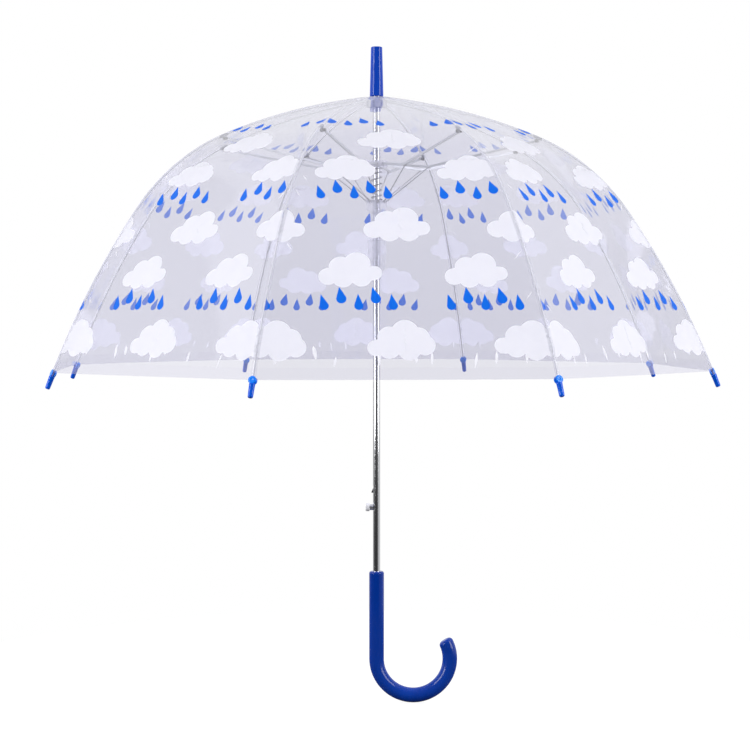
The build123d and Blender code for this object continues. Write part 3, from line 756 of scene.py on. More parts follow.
@dataclass(frozen=True)
class RibLine:
    """Centre line of a rib in its own plane: tangent arcs from the crown's wire."""

    pivot_radius: float = 0.011
    pivot_height: float = 0.7655
    heading: float = 6.5
    arcs: tuple = ((0.200, 16.5), (0.150, 32.5), (0.240, 13.5))
    flex_at: float = 0.285
    hem_at: float = 0.5705
    end_at: float = 0.583

    def at(self, length: np.ndarray, above: float = 0.0) -> np.ndarray:
        """Points at arc lengths from the pivot.

        On an arc of curvature c, the heading grows as h + c * s, and the point moves by
        (sin(h + c * s) - sin(h)) / c outwards and (cos(h + c * s) - cos(h)) / c upwards.

        Args:
            length: Arc lengths.
            above: Distance from the line, along its outward normal.

        Returns:
            Radius, height and heading (in radians below the horizontal) in the last axis.
        """
        left = np.asarray(length, dtype=float)
        radius = np.full(left.shape, self.pivot_radius)
        height = np.full(left.shape, self.pivot_height)
        heading = np.full(left.shape, math.radians(self.heading))
        for arc_length, turn in self.arcs:
            step = np.clip(left, 0.0, arc_length)
            curve = math.radians(turn) / arc_length
            turned = heading + curve * step
            radius = radius + (np.sin(turned) - np.sin(heading)) / curve
            height = height + (np.cos(turned) - np.cos(heading)) / curve
            heading = turned
            left = left - step
        radius = radius + above * np.sin(heading)
        height = height + above * np.cos(heading)
        return np.stack([radius, height, heading], axis=-1)

    def place(self, azimuth: float, length: np.ndarray, above: float = 0.0) -> np.ndarray:
        """Points of one rib in space.

        Args:
            azimuth: Azimuth of the rib, in radians.
            length: Arc lengths.
            above: Distance outwards from the line.

        Returns:
            Points, with x, y, z in the last axis.
        """
        line = self.at(length, above)
        return line[..., :1] * level_axes(azimuth)[0] + line[..., 1:2] * UP

    def directions(self, azimuth: float, length: float) -> tuple[np.ndarray, ...]:
        """Directions at an arc length of a rib.

        Args:
            azimuth: Azimuth of the rib, in radians.
            length: Arc length.

        Returns:
            Directions along the rib, outwards from it and to its side.
        """
        heading = self.at(np.array(length))[2]
        outward, _ = level_axes(azimuth)
        along = outward * math.cos(heading) - UP * math.sin(heading)
        above = outward * math.sin(heading) + UP * math.cos(heading)
        return along, above, np.cross(above, along)


@dataclass(frozen=True)
class FilmShape:
    """Clear dome: eight gores, straight from rib to rib, with small puckers at their edges.

    A shift is the angle, in radians, by which a wave moves on from one gore to the next.
    """

    rib: RibLine
    first_azimuth: float = -17.9
    count: int = 8
    above_rod: float = 0.00155
    apex_radius: float = 0.0065
    apex_height: float = 0.77015
    seam: float = 0.00025
    held_reach: float = 0.0025
    seam_pucker: float = 0.00055
    seam_reach: float = 0.016
    seam_slant: float = 0.8
    seam_pitch: float = 0.021
    seam_shift: float = 2.1
    seam_swing: float = 0.173
    seam_swing_shift: float = 1.3
    side_shifts: tuple[float, float] = (1.7, 0.4)
    hem_pucker: float = 0.0005
    hem_reach: float = 0.014
    hem_pitch: float = 0.024
    hem_shift: float = 1.9
    hem_swing: float = 0.131
    hem_swing_shift: float = 0.7
    slack: float = 0.0012
    slack_pitch: float = 0.31
    slack_shift: float = 0.9
    grown_by: float = 0.25
    crown_crease: float = 0.0007
    crown_start: float = 0.02
    crown_reach: float = 0.05
    crown_waves: float = 5.0
    crown_shift: float = 1.1

    def line(self, length: np.ndarray) -> np.ndarray:
        """Film's line in a rib's plane: the rib's arcs, and before them an arc that leaves them
        tangentially and ends at the hole for the shaft.

        Args:
            length: Arc lengths along the rib; the first arc counts from the hole.

        Returns:
            Radius, height and heading in the last axis.
        """
        joint_at = self.rib.arcs[0][0]
        joint = self.rib.at(np.array(joint_at), self.above_rod)
        normal = np.array([math.sin(joint[2]), math.cos(joint[2])])
        chord = np.array([self.apex_radius, self.apex_height]) - joint[:2]
        bend = -(chord @ chord) / (2 * (chord @ normal))
        centre = joint[:2] - bend * normal
        start = math.atan2(self.apex_radius - centre[0], self.apex_height - centre[1])
        length = np.asarray(length, dtype=float)
        angle = start + (joint[2] - start) * np.clip(length / joint_at, 0.0, 1.0)
        near = np.stack([centre[0] + bend * np.sin(angle), centre[1] + bend * np.cos(angle), angle],
                        axis=-1)
        far = self.rib.at(length, self.above_rod)
        return np.where((length < joint_at)[..., None], near, far)

    def azimuth(self, rib: float) -> float:
        """Azimuth of a rib, in radians."""
        return math.radians(self.first_azimuth + rib * 360 / self.count)

    def half_width(self, length: np.ndarray) -> np.ndarray:
        """Half of a gore's width at arc lengths."""
        half = math.pi / self.count
        return self.line(length)[..., 0] * math.sin(half) - self.seam * math.cos(half)

    def pucker(self, gore: int, across: np.ndarray, length: np.ndarray) -> np.ndarray:
        """Height of the film's puckers: waves that die out away from the seams and the hem.

        Along a seam the waves follow the arc length plus the slant times the distance from the
        seam; along the hem they follow the distance across. Creases fan out from the crown and
        fade along the gore. A slow last wave leaves the sheet slightly slack.

        Args:
            gore: Number of the gore.
            across: Distance from the gore's middle line.
            length: Arc length.

        Returns:
            Heights along the outward normal.
        """
        width = self.half_width(length)
        share = across / (width + 1e-9)
        from_seam = np.maximum(width - np.abs(across), 0.0)
        from_hem = np.maximum(self.rib.hem_at - length, 0.0)
        side = np.where(across < 0, *self.side_shifts)
        round_turn = 2 * math.pi
        grown = np.clip(length / self.grown_by, 0.0, 1.0)
        held = 1.0 - np.exp(-from_seam / self.held_reach)
        slanted = length + self.seam_slant * from_seam
        wave = np.sin(round_turn * slanted / self.seam_pitch + self.seam_shift * gore + side)
        swing = 0.5 + 0.5 * np.sin(round_turn * length / self.seam_swing
                                   + self.seam_swing_shift * gore + 2 * side)
        seam_part = self.seam_pucker * wave * swing * grown * np.exp(-from_seam / self.seam_reach)
        ripple = np.sin(round_turn * across / self.hem_pitch + self.hem_shift * gore)
        uneven = 0.5 + 0.5 * np.sin(round_turn * across / self.hem_swing
                                    + self.hem_swing_shift * gore)
        hem_part = self.hem_pucker * ripple * uneven * np.exp(-from_hem / self.hem_reach)
        slow = np.sin(round_turn * length / self.slack_pitch + self.slack_shift * gore)
        slow_part = self.slack * slow * grown * np.cos(math.pi * share / 2)
        fan = np.sin(self.crown_waves * math.pi * share + self.crown_shift * gore)
        fan = fan * np.clip(length / self.crown_start, 0.0, 1.0)
        fan_part = self.crown_crease * fan * np.exp(-length / self.crown_reach)
        return held * (seam_part + hem_part + slow_part + fan_part)

    def place(self, gore: int, across: np.ndarray, length: np.ndarray,
              lift: float = 0.0) -> np.ndarray:
        """Points of a gore: its middle line, plus a step across it, plus a step along its normal.

        With r, z and h the film line's radius, height and heading, the middle line is at
        r * cos(half pitch) outwards, and the normal is (sin(h), cos(h) * cos(half pitch)), made
        of length 1.

        Args:
            gore: Number of the gore, from the rib of the same number to the next.
            across: Distance from the middle line, positive towards the next rib.
            length: Arc length.
            lift: Extra distance outwards.

        Returns:
            Points, with x, y, z in the last axis.
        """
        across, length = np.broadcast_arrays(np.asarray(across, float), np.asarray(length, float))
        half = math.pi / self.count
        outward, sideways = level_axes(self.azimuth(gore + 0.5))
        line = self.line(length)
        radius, height, heading = line[..., 0], line[..., 1], line[..., 2]
        reach = radius * math.cos(half) + self.seam * math.sin(half)
        slope = np.stack([np.sin(heading), np.cos(heading) * math.cos(half)], axis=-1)
        slope = slope / np.linalg.norm(slope, axis=-1, keepdims=True)
        rise = lift + self.pucker(gore, across, length)
        reach = reach + rise * slope[..., 0]
        height = height + rise * slope[..., 1]
        return reach[..., None] * outward + across[..., None] * sideways + height[..., None] * UP


# ---------------------------------------------------------------- print

@dataclass(frozen=True)
class Motif:
    """Closed shape drawn as rays from its middle, placed on a gore."""

    across: float
    length: float
    turn: float = 0.0
    rays: int = 96
    rings: int = 6

    def reach(self, angle: np.ndarray) -> np.ndarray:
        """Distance from the middle to the outline at each angle."""
        raise NotImplementedError

    def grid(self) -> tuple[np.ndarray, np.ndarray]:
        """Rings of points from the middle to the outline.

        Returns:
            Distances across the gore and arc lengths, each as rings by rays.
        """
        angle = np.arange(self.rays) * 2 * math.pi / self.rays
        share = np.linspace(0.0, 1.0, self.rings)[:, None]
        reach = self.reach(angle)[None, :] * share
        turned = angle + math.radians(self.turn)
        return self.across + reach * np.cos(turned), self.length - reach * np.sin(turned)


@dataclass(frozen=True)
class Cloud(Motif):
    """Cloud: the outline of a few round puffs, seen from the cloud's middle.

    A ray at angle a leaves the puff with centre c and radius r at c . d + sqrt(r^2 - (c x d)^2),
    where d is the ray's direction; the outline is the farthest of these.
    """

    puffs: tuple = ()
    size: float = 1.0

    def reach(self, angle: np.ndarray) -> np.ndarray:
        """Distance from the middle to the outline.

        Args:
            angle: Angles of the rays, in radians.

        Returns:
            One distance for each ray.
        """
        far = np.zeros_like(angle)
        for x, y, radius in self.puffs:
            x, y, radius = x * MM * self.size, y * MM * self.size, radius * MM * self.size
            along = x * np.cos(angle) + y * np.sin(angle)
            off = x * np.sin(angle) - y * np.cos(angle)
            room = radius ** 2 - off ** 2
            leave = along + np.sqrt(np.maximum(room, 0.0))
            far = np.maximum(far, np.where((room > 0) & (leave > 0), leave, 0.0))
        return far


@dataclass(frozen=True)
class Drop(Motif):
    """Raindrop: a circle and the two tangents to it from the drop's point.

    With b = acos(r / h) for radius r and point height h, the outline at an angle p from the
    point is r / cos(b - p) up to p = b, and r beyond it.
    """

    rays: int = 40
    rings: int = 4
    radius: float = 0.0052
    height: float = 0.0145

    def reach(self, angle: np.ndarray) -> np.ndarray:
        """Distance from the middle to the outline.

        Args:
            angle: Angles of the rays, in radians.

        Returns:
            One distance for each ray.
        """
        away = np.abs((angle - math.pi / 2 + math.pi) % (2 * math.pi) - math.pi)
        tangent = math.acos(self.radius / self.height)
        return self.radius / np.cos(tangent - np.minimum(away, tangent))


@dataclass(frozen=True)
class PaintedGlint(Motif):
    """Painted glint: a short white mark that stands in for the light a small fold in the film
    catches; a lens, long and thin.
    """

    rays: int = 24
    rings: int = 2
    long: float = 0.005
    thin: float = 0.00045

    def reach(self, angle: np.ndarray) -> np.ndarray:
        """Distance from the middle to the outline at each angle."""
        flat, steep = self.thin * np.cos(angle), self.long * np.sin(angle)
        return self.long * self.thin / np.hypot(flat, steep)


@dataclass(frozen=True)
class PrintLayout:
    """Rows of clouds and rain on every gore, repeated down and across it."""

    rows: int = 5
    columns: tuple[int, ...] = (-1, 0, 1)
    pitch_down: float = 0.1425
    pitch_across: float = 0.1365
    first_length: float = 0.175
    high_row: float = 0.0980
    high_shift: float = -0.0045
    high_turn: float = -3.0
    middle_turn: float = 5.0
    low_row: float = 0.0145
    low_shift: float = 0.0790
    low_turn: float = 4.0
    low_size: float = 0.94
    rain_row: float = 0.0540
    rain_shift: float = 0.0200
    rain_count: int = 5
    rain_step: float = 0.0185
    rain_swing: float = 0.0042
    drop_turn: float = 14.0
    drop_turn_step: float = 6.0
    drop_radius: float = 0.0049
    drop_growth: float = 0.0006
    last_length: float = 0.545
    clouds: tuple = (
        ((-25, -7, 11), (-8, -10, 12.5), (13, -11, 12), (28, -6, 9.5), (-9, 4, 14), (10, 7, 15.5)),
        ((-27, -8, 9.5), (-13, -9, 12), (8, -11, 12.5), (25, -7, 11.5), (-12, 3, 13), (5, 8, 15),
         (19, 2, 12)),
    )

    def kept(self, motifs: list[Motif]) -> list[Motif]:
        """Motifs whose middles lie between the first and the last row."""
        return [motif for motif in motifs if self.first_length < motif.length < self.last_length]

    def clouds_on(self) -> list[Motif]:
        """Clouds of one gore, in high and low rows by turns.

        Returns:
            The clouds, row by row.
        """
        made = []
        for row in range(self.rows):
            down = row * self.pitch_down
            for column in self.columns:
                across = column * self.pitch_across
                turn = self.high_turn + self.middle_turn * (column == 0)
                made.append(Cloud(self.high_shift + across, self.high_row + down, turn=turn,
                                  puffs=self.clouds[row % 2]))
                made.append(Cloud(self.low_shift + across - self.pitch_across, self.low_row + down,
                                  turn=self.low_turn, puffs=self.clouds[(row + 1) % 2],
                                  size=self.low_size))
        return self.kept(made)

    def drops_on(self) -> list[Motif]:
        """Raindrops of one gore, in groups that rise and fall like a gust.

        Returns:
            The drops, row by row.
        """
        made = []
        for row in range(self.rows):
            for column in self.columns:
                middle = self.rain_shift + (column - 0.5) * self.pitch_across
                for number in range(self.rain_count):
                    across = middle + (number - (self.rain_count - 1) / 2) * self.rain_step
                    swing = self.rain_swing * math.cos(math.pi * number)
                    made.append(Drop(across, self.rain_row + row * self.pitch_down + swing,
                                     turn=self.drop_turn - self.drop_turn_step * (number % 3),
                                     radius=self.drop_radius + self.drop_growth * (number % 2)))
        return self.kept(made)


@dataclass(frozen=True)
class PaintedGlintLayout:
    """Painted glints: upright ones above the hem, and ones beside the seams that slant towards
    them.

    A pair holds the least value and the most that scatter adds to it.
    """

    shape: FilmShape
    hem_count: int = 9
    hem_room: float = 0.02
    hem_scatter: float = 0.012
    hem_turn: tuple[float, float] = (77.0, 26.0)
    hem_long: tuple[float, float] = (0.005, 0.0055)
    hem_thin: tuple[float, float] = (0.0011, 0.001)
    corner_room: float = 0.015
    seam_count: int = 7
    seam_start: float = 0.25
    seam_end: float = 0.5505
    seam_room: float = 0.009
    seam_scatter: float = 0.006
    seam_turn: tuple[float, float] = (24.0, 16.0)
    seam_long: tuple[float, float] = (0.0035, 0.004)
    seam_thin: tuple[float, float] = (0.0005, 0.0004)
    seed_step: int = 40

    def half_width(self, length: float) -> float:
        """Half of a gore's width at an arc length."""
        return float(self.shape.half_width(np.array(length)))

    def scatter(self, number: float, gore: int) -> float:
        """Fixed value from 0 to 1 for a number: the fraction of a large multiple of a sine."""
        value = math.sin(number * 12.9898 + gore * 78.233) * 437.585
        return value - math.floor(value)

    def within(self, pair: tuple[float, float], share: float) -> float:
        """Least value of a pair plus a share of what can be added to it."""
        return pair[0] + pair[1] * share

    def creases_on(self, gore: int) -> list[PaintedGlint]:
        """Painted glints of one gore: first those above the hem, then those beside the seams.

        Args:
            gore: Number of the gore.

        Returns:
            The painted glints.
        """
        made = []
        hem_at = self.shape.rib.hem_at
        width = self.half_width(hem_at) - self.corner_room
        for number in range(self.hem_count):
            share = self.scatter(number, gore)
            spread = self.scatter(number + self.seed_step, gore)
            across = (2 * (number + share) / self.hem_count - 1) * width
            made.append(PaintedGlint(across, hem_at - self.hem_room - self.hem_scatter * spread,
                               turn=self.within(self.hem_turn, spread),
                               long=self.within(self.hem_long, share),
                               thin=self.within(self.hem_thin, spread)))
        step = (self.seam_end - self.seam_start) / self.seam_count
        for number in range(self.seam_count):
            share = self.scatter(number + 2 * self.seed_step, gore)
            spread = self.scatter(number + 3 * self.seed_step, gore)
            length = self.seam_start + (number + share) * step
            side = 1 if spread > 0.5 else -1
            across = side * (self.half_width(length) - self.seam_room - self.seam_scatter * share)
            made.append(PaintedGlint(across, length,
                               turn=90 - side * self.within(self.seam_turn, spread),
                               long=self.within(self.seam_long, spread),
                               thin=self.within(self.seam_thin, share)))
        return made


# ---------------------------------------------------------------- canopy

class Side(Enum):
    """Half of a gore, beside its own rib or beside the next one, and its sign across the gore."""

    NEAR = -1
    FAR = 1


class Stretch(Enum):
    """Stretch of film along a rib; the value ends the name of the body that it rides on."""

    UPPER = ""
    LOWER = "_end"

    def span(self, rib: RibLine) -> tuple[float, float]:
        """Arc lengths of its upper and its lower edge."""
        return (0.0, rib.flex_at) if self is Stretch.UPPER else (rib.flex_at, rib.hem_at)


@dataclass(frozen=True)
class Patch:
    """Piece of film that rides on one body: one stretch of half a gore."""

    shape: FilmShape
    gore: int
    side: Side
    stretch: Stretch

    @property
    def tag(self) -> str:
        """End of its pieces' names."""
        return f"{self.gore + 1}_{self.side.name.lower()}_{self.stretch.name.lower()}"

    @property
    def rib(self) -> int:
        """Number of the rib that it hangs on."""
        return (self.gore + (self.side is Side.FAR)) % self.shape.count

    @property
    def span(self) -> tuple[float, float]:
        """Arc lengths of its upper and its lower edge."""
        return self.stretch.span(self.shape.rib)

    def gather(self) -> tuple[np.ndarray, np.ndarray]:
        """Direction in which it gathers towards its rib, and a point that stays where it is.

        The direction is from the rib to the gore's middle line, taken square to the rib's
        chord, so that the seam stays on the rib.

        Returns:
            The direction, of length 1, and the point.
        """
        start, end = self.span
        azimuth = self.shape.azimuth(self.rib)
        turn = -self.side.value * math.pi / self.shape.count
        radial, _ = level_axes(azimuth)
        sideways = level_axes(azimuth + turn)[0] * math.cos(turn) - radial
        low, centre, high = self.shape.line(np.array([start, (start + end) / 2, end]))
        chord = radial * (high[0] - low[0]) + UP * (high[1] - low[1])
        chord = chord / np.linalg.norm(chord)
        axis = sideways - (sideways @ chord) * chord
        return axis / np.linalg.norm(axis), radial * centre[0] + UP * centre[1]

    def grid(self, start: float, row_step: float, columns: int, lift: float = 0.0) -> np.ndarray:
        """Grid of points from an arc length down to the lower edge, closer towards the seam.

        Args:
            start: Arc length of the first row.
            row_step: Distance between rows.
            columns: Points in a row.
            lift: Extra distance outwards.

        Returns:
            Points, as rows by columns by 3.
        """
        end = self.span[1]
        rows = max(2, int(round((end - start) / row_step)) + 1)
        length = np.linspace(start, end, rows)[:, None]
        share = np.sin(np.linspace(0.0, 1.0, columns) * math.pi / 2)[None, :]
        across = self.side.value * share * self.shape.half_width(length)
        return self.shape.place(self.gore, across, length, lift)

    def flat_size(self) -> tuple[float, float, float]:
        """Size of the patch cut flat; the area is the sum of its widths along its length.

        Returns:
            Greatest width, length and area.
        """
        length = np.linspace(*self.span, 200)
        width = self.shape.half_width(length)
        line = self.shape.line(length)
        half = math.pi / self.shape.count
        flat = np.stack([line[:, 0] * math.cos(half), line[:, 1]], axis=-1)
        steps = np.linalg.norm(np.diff(flat, axis=0), axis=1)
        area = float(np.sum(steps * (width[1:] + width[:-1]) / 2))
        return float(width.max()), float(steps.sum()), area


@dataclass
class Canopy:
    """Film canopy with its print, hem band and seam tapes."""

    finishes: Finishes
    shape: FilmShape
    layout: PrintLayout = PrintLayout()
    print_lift: float = 0.0002
    ink_step: float = 0.5
    print_start: float = 0.02
    print_room: float = 0.0005
    thinnest_print: float = 0.0002
    hem_lift: float = 0.0004
    hem_band: float = 0.0135
    tape_lift: float = 0.00032
    tape_start: float = 0.012
    tape_width: float = 0.0066
    tape_most: float = 0.8
    tape_short: float = 0.001
    tape_columns: tuple[float, ...] = (0.0, 0.35, 0.7, 1.0)
    row_step: float = 0.004
    columns: int = 26
    folded_share: float = 0.12

    def carry(self, piece: bpy.types.Object, patch: Patch) -> None:
        """Hang a piece on its rib and give it a mesh of its own; the patch's gathering direction is
        worked out but not used.

        Args:
            piece: Piece that lies on the patch.
            patch: Patch of film.
        """
        axis, anchor = patch.gather()
        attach(piece, f"rib_{patch.rib + 1}{patch.stretch.value}")
        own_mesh(piece)

    def sheet(self, name: str, patch: Patch, start: float, finish: Finish,
              lift: float = 0.0) -> bpy.types.Object:
        """Build a sheet over a patch and hang it.

        Args:
            name: Name of the piece.
            patch: Patch of film.
            start: Arc length of the sheet's upper edge.
            finish: Its finish.
            lift: Extra distance outwards.

        Returns:
            The piece.
        """
        piece = Surface(name)
        grid = patch.grid(start, self.row_step, self.columns, lift)
        piece.add_grid(grid, flip=patch.side is Side.NEAR)
        made = piece.build([self.finishes.get(finish)])
        self.carry(made, patch)
        return made

    def lay(self, name: str, patch: Patch,
            inks: dict[Finish, list[Motif]]) -> list[bpy.types.Object]:
        """Lay motifs on a patch, cut off at its edges, and hang them.

        Args:
            name: Name of the piece.
            patch: Patch of film.
            inks: Motifs of each ink.

        Returns:
            The piece, or nothing where no motif lies on the patch.
        """
        start, end = patch.span
        left, right = sorted((0.0, float(patch.side.value)))
        piece = Surface(name)
        for slot, motifs in enumerate(inks.values()):
            lift = self.print_lift * (1 + self.ink_step * slot)
            for motif in motifs:
                across, length = motif.grid()
                if length.max() <= start or length.min() >= end:
                    continue
                length = np.clip(length, max(start, self.print_start), end)
                limit = np.maximum(self.shape.half_width(length) - self.print_room, 0.0)
                across = np.clip(across, left * limit, right * limit)
                if np.ptp(across) >= self.thinnest_print:
                    grid = self.shape.place(patch.gore, across, length, lift)
                    piece.add_grid(grid, slot=slot, wrap=True)
        if not piece.points:
            return []
        made = piece.build([self.finishes.get(ink) for ink in inks])
        self.carry(made, patch)
        return [made]

    def build_patch(self, patch: Patch) -> None:
        """Build a patch of film with its print, its painted glints and, at the hem, its band.

        Args:
            patch: Patch of film.
        """
        start, end = patch.span
        film = self.sheet(f"film_{patch.tag}", patch, start, Finish.FILM)
        extras = self.lay(f"print_{patch.tag}", patch, {
            Finish.CLOUD_INK: self.layout.clouds_on(), Finish.DROP_INK: self.layout.drops_on()})
        # White marks painted where small folds in the film would catch the light.
        extras += self.lay(f"creases_{patch.tag}", patch, {
            Finish.CREASE: PaintedGlintLayout(self.shape).creases_on(patch.gore)})
        if patch.stretch is Stretch.LOWER:
            name = f"hem_{patch.gore + 1}_{patch.side.name.lower()}"
            extras.append(self.sheet(name, patch, end - self.hem_band, Finish.HEM, self.hem_lift))
        width, length, area = patch.flat_size()
        if patch.side is Side.NEAR and patch.stretch is Stretch.UPPER:
            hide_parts(f"canopy_panel_{patch.gore + 1}")
        LOG.info("%s: %.0f x %.0f mm, %.4f m2", film.name, width / MM, length / MM, area)

    def build_tape(self, rib: int, stretch: Stretch) -> None:
        """Build the tape that joins two gores over one stretch of a rib.

        Args:
            rib: Number of the rib.
            stretch: Stretch of film.
        """
        start, end = stretch.span(self.shape.rib)
        if stretch is Stretch.LOWER:
            end = end - self.tape_short
        rows = int(round((end - start) / self.row_step)) + 1
        length = np.linspace(max(start, self.tape_start), end, rows)[:, None]
        share = np.array(self.tape_columns)[None, :]
        reach = self.shape.half_width(length)
        inside = np.minimum(self.tape_width / 2, self.tape_most * reach)
        across = reach - inside * (1.0 - share)
        last_gore = (rib - 1) % self.shape.count
        before = self.shape.place(last_gore, across, length, self.tape_lift)
        after = self.shape.place(rib, -across, length, self.tape_lift)
        piece = Surface(f"seam_tape_{rib + 1}_{stretch.name.lower()}")
        piece.add_grid(np.concatenate([before, after[:, ::-1]], axis=1))
        tape = piece.build([self.finishes.get(Finish.TAPE)])
        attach(tape, f"rib_{rib + 1}{stretch.value}")

    def build(self) -> None:
        """Build all gores and tapes."""
        for gore in range(self.shape.count):
            for stretch in Stretch:
                for side in Side:
                    self.build_patch(Patch(self.shape, gore, side, stretch))
                self.build_tape(gore, stretch)
        LOG.info("canopy: %d gores", self.shape.count)


# ---------------------------------------------------------------- rigid pieces

@dataclass
class Hardware:
    """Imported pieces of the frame, the handle and the latch, each with its finish."""

    finishes: Finishes
    nodes: dict[str, bpy.types.Object]
    by_name: dict[str, Finish] = field(default_factory=lambda: {
        "handle": Finish.HANDLE, "ferrule": Finish.FERRULE, "shaft": Finish.SHAFT,
        "release_button": Finish.BUTTON, "crown": Finish.CROWN, "top_washer": Finish.CROWN,
        "crown_wire": Finish.SPRING, "buffer_spring": Finish.SPRING, "main_spring": Finish.SPRING,
        "upper_hub": Finish.RUNNER, "lower_runner": Finish.RUNNER, "latch_lever": Finish.DARK})
    by_start: dict[str, Finish] = field(default_factory=lambda: {
        "rib_": Finish.RIB, "stretcher_": Finish.STRETCHER, "strut_": Finish.STRUT})

    def dress(self) -> None:
        """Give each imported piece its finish."""
        for name, node in self.nodes.items():
            if name in self.by_name:
                self.finishes.dress(node, self.by_name[name])
            elif name.endswith("_tip"):
                self.finishes.dress(node, Finish.TIP_NOSE)
            else:
                for start, finish in self.by_start.items():
                    if name.startswith(start):
                        self.finishes.dress(node, finish)
        LOG.info("hardware: %d packed pieces", len(self.nodes))


@dataclass
class RibParts:
    """Rods, clips, rivets and tips of the ribs, and the spring round the shaft.

    Each profile lists distances along its axis and radii, in millimetres.
    """

    finishes: Finishes
    rib: RibLine
    shape: FilmShape
    rod_radius: float = 0.001
    rod_start: float = 0.0017
    rod_rows: int = 190
    bend: tuple[float, float] = (0.264, 0.306)
    clip: tuple[float, float] = (0.1985, 0.2115)
    clip_wide: float = 1.55
    clip_high: float = 1.65
    clip_middle: float = -0.45
    clip_square: float = 0.45
    clip_columns: int = 32
    clip_rows: int = 9
    clip_ends: tuple[float, ...] = (0.0, 0.75, 0.94)
    nose_at: float = 0.574
    spring_bottom: float = 0.6403
    spring_top: float = 0.68165
    spring_radius: float = 0.0063
    spring_wire: float = 0.0008
    spring_turns: float = 6.0
    spring_rows: int = 40
    spring_closed: float = 0.04
    spring_folded: float = 0.24
    rod_eye: tuple = ((-1.0, 0.75), (-1.0, 1.6), (-0.7, 1.9), (0.7, 1.9), (1.0, 1.6), (1.0, 0.75),
                      (-1.0, 0.75))
    clip_lug: tuple = ((-1.5, 0.0), (-1.5, 2.2), (-1.2, 2.55), (1.2, 2.55), (1.5, 2.2), (1.5, 0.0))
    rivet_head: tuple = ((1.5, 1.9), (1.75, 1.85), (2.0, 1.5), (2.15, 0.9), (2.2, 0.0))
    tip_nose: tuple = ((0.0, 0.9), (0.0, 2.9), (0.3, 3.3), (1.4, 3.45), (1.8, 3.25), (14.2, 2.95),
                       (15.0, 2.8), (15.6, 2.35), (15.9, 1.8), (16.0, 1.2), (15.7, 0.6),
                       (15.6, 0.0))
    tip_eye: tuple = ((-3.1, 0.0), (-3.1, 3.8), (-2.8, 4.3), (-2.3, 4.5), (-1.7, 4.5), (-1.2, 4.3),
                      (-0.9, 3.8), (-0.9, 0.0))
    tip_cap: tuple = ((1.75, 0.0), (1.75, 4.1), (2.0, 4.4), (2.35, 4.4), (2.6, 4.0), (2.75, 3.2),
                      (2.8, 1.4), (2.55, 0.9), (2.5, 0.0))

    def turned(self, piece: Surface, number: int, profile: tuple, at: tuple[float, float],
               count: int = 40) -> None:
        """Add a shape turned round an axis that lies square across a rib.

        Args:
            piece: Piece that takes it.
            number: Number of the rib.
            profile: Its profile.
            at: Radius and height of the axis.
            count: Points on a ring.
        """
        outward, side = level_axes(self.shape.azimuth(number))
        grid = revolved(profile, at[0] * outward + at[1] * UP, side, outward, count)
        piece.add_grid(grid, wrap=True, flip=True)

    def rod(self, number: int) -> bpy.types.Object:
        """Spring rod of a rib, whole from its eye to its tip.

        Args:
            number: Number of the rib.

        Returns:
            The rod.
        """
        azimuth = self.shape.azimuth(number)
        line = self.rib.place(azimuth, np.linspace(self.rod_start, self.rib.end_at, self.rod_rows))
        piece = Surface(f"rib_rod_{number + 1}")
        piece.add_grid(tube(line, self.rod_radius, level_axes(azimuth)[1]), wrap=True)
        self.turned(piece, number, self.rod_eye, (self.rib.pivot_radius, self.rib.pivot_height))
        made = piece.build([self.finishes.get(Finish.RIB)])
        start, end = self.rib.place(azimuth, np.array(self.bend))
        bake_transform(made)
        return made

    def bracket(self, number: int) -> None:
        """Clip that hangs a stretcher under its rib: a sleeve with soft edges and a round lug.

        A section at share k of the clip's full size is k * (w * c, h * s) off its middle, where c
        and s are the cosine and sine of the angle round it, raised to a power below 1, which
        squares the oval.

        Args:
            number: Number of the rib.
        """
        azimuth = self.shape.azimuth(number)
        _, side = level_axes(azimuth)
        angle = np.linspace(0.0, 2 * math.pi, self.clip_columns, endpoint=False)
        cosine, sine = np.cos(angle), np.sin(angle)
        wide = self.clip_wide * np.sign(cosine) * np.abs(cosine) ** self.clip_square
        high = self.clip_high * np.sign(sine) * np.abs(sine) ** self.clip_square
        shares = (*self.clip_ends, *[1.0] * self.clip_rows, *self.clip_ends[::-1])
        rows = []
        for place, share in zip(np.linspace(*self.clip, len(shares)), shares):
            _, above, _ = self.rib.directions(azimuth, float(place))
            rise = self.clip_middle + high * share
            off = rise[:, None] * above + (wide * share)[:, None] * side
            rows.append(self.rib.place(azimuth, np.array(place)) + MM * off)
        piece = Surface(f"bracket_{number + 1}")
        piece.add_grid(np.array(rows), wrap=True)
        self.turned(piece, number, self.clip_lug, RIVET_AT)
        made = piece.build([self.finishes.get(Finish.BRACKET)])
        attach(made, f"rib_{number + 1}")

    def rivet(self, number: int) -> None:
        """Black rivet through the clip's lug, with a domed head on each side.

        Args:
            number: Number of the rib.
        """
        left = [(-along, radius) for along, radius in self.rivet_head[::-1]]
        profile = left + list(self.rivet_head)
        piece = Surface(f"rivet_{number + 1}")
        self.turned(piece, number, profile, RIVET_AT, count=28)
        made = piece.build([self.finishes.get(Finish.RIVET)])
        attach(made, f"rib_{number + 1}")

    def tip(self, number: int) -> None:
        """Tip of a rib: a round nose, a flat eye under the film's corner and its cap outside.

        Args:
            number: Number of the rib.
        """
        azimuth = self.shape.azimuth(number)
        piece = Surface(f"tip_{number + 1}")
        along, _, side = self.rib.directions(azimuth, self.nose_at)
        start = self.rib.place(azimuth, np.array(self.nose_at))
        piece.add_grid(revolved(self.tip_nose, start, along, side), wrap=True, flip=True)
        _, above, side = self.rib.directions(azimuth, self.rib.hem_at)
        corner = self.rib.place(azimuth, np.array(self.rib.hem_at))
        for profile in (self.tip_eye, self.tip_cap):
            piece.add_grid(revolved(profile, corner, above, side), slot=1, wrap=True, flip=True)
        made = piece.build([self.finishes.get(Finish.TIP_NOSE), self.finishes.get(Finish.TIP_EYE)])
        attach(made, f"rib_{number + 1}_end")
        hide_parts(f"rib_{number + 1}_tip")

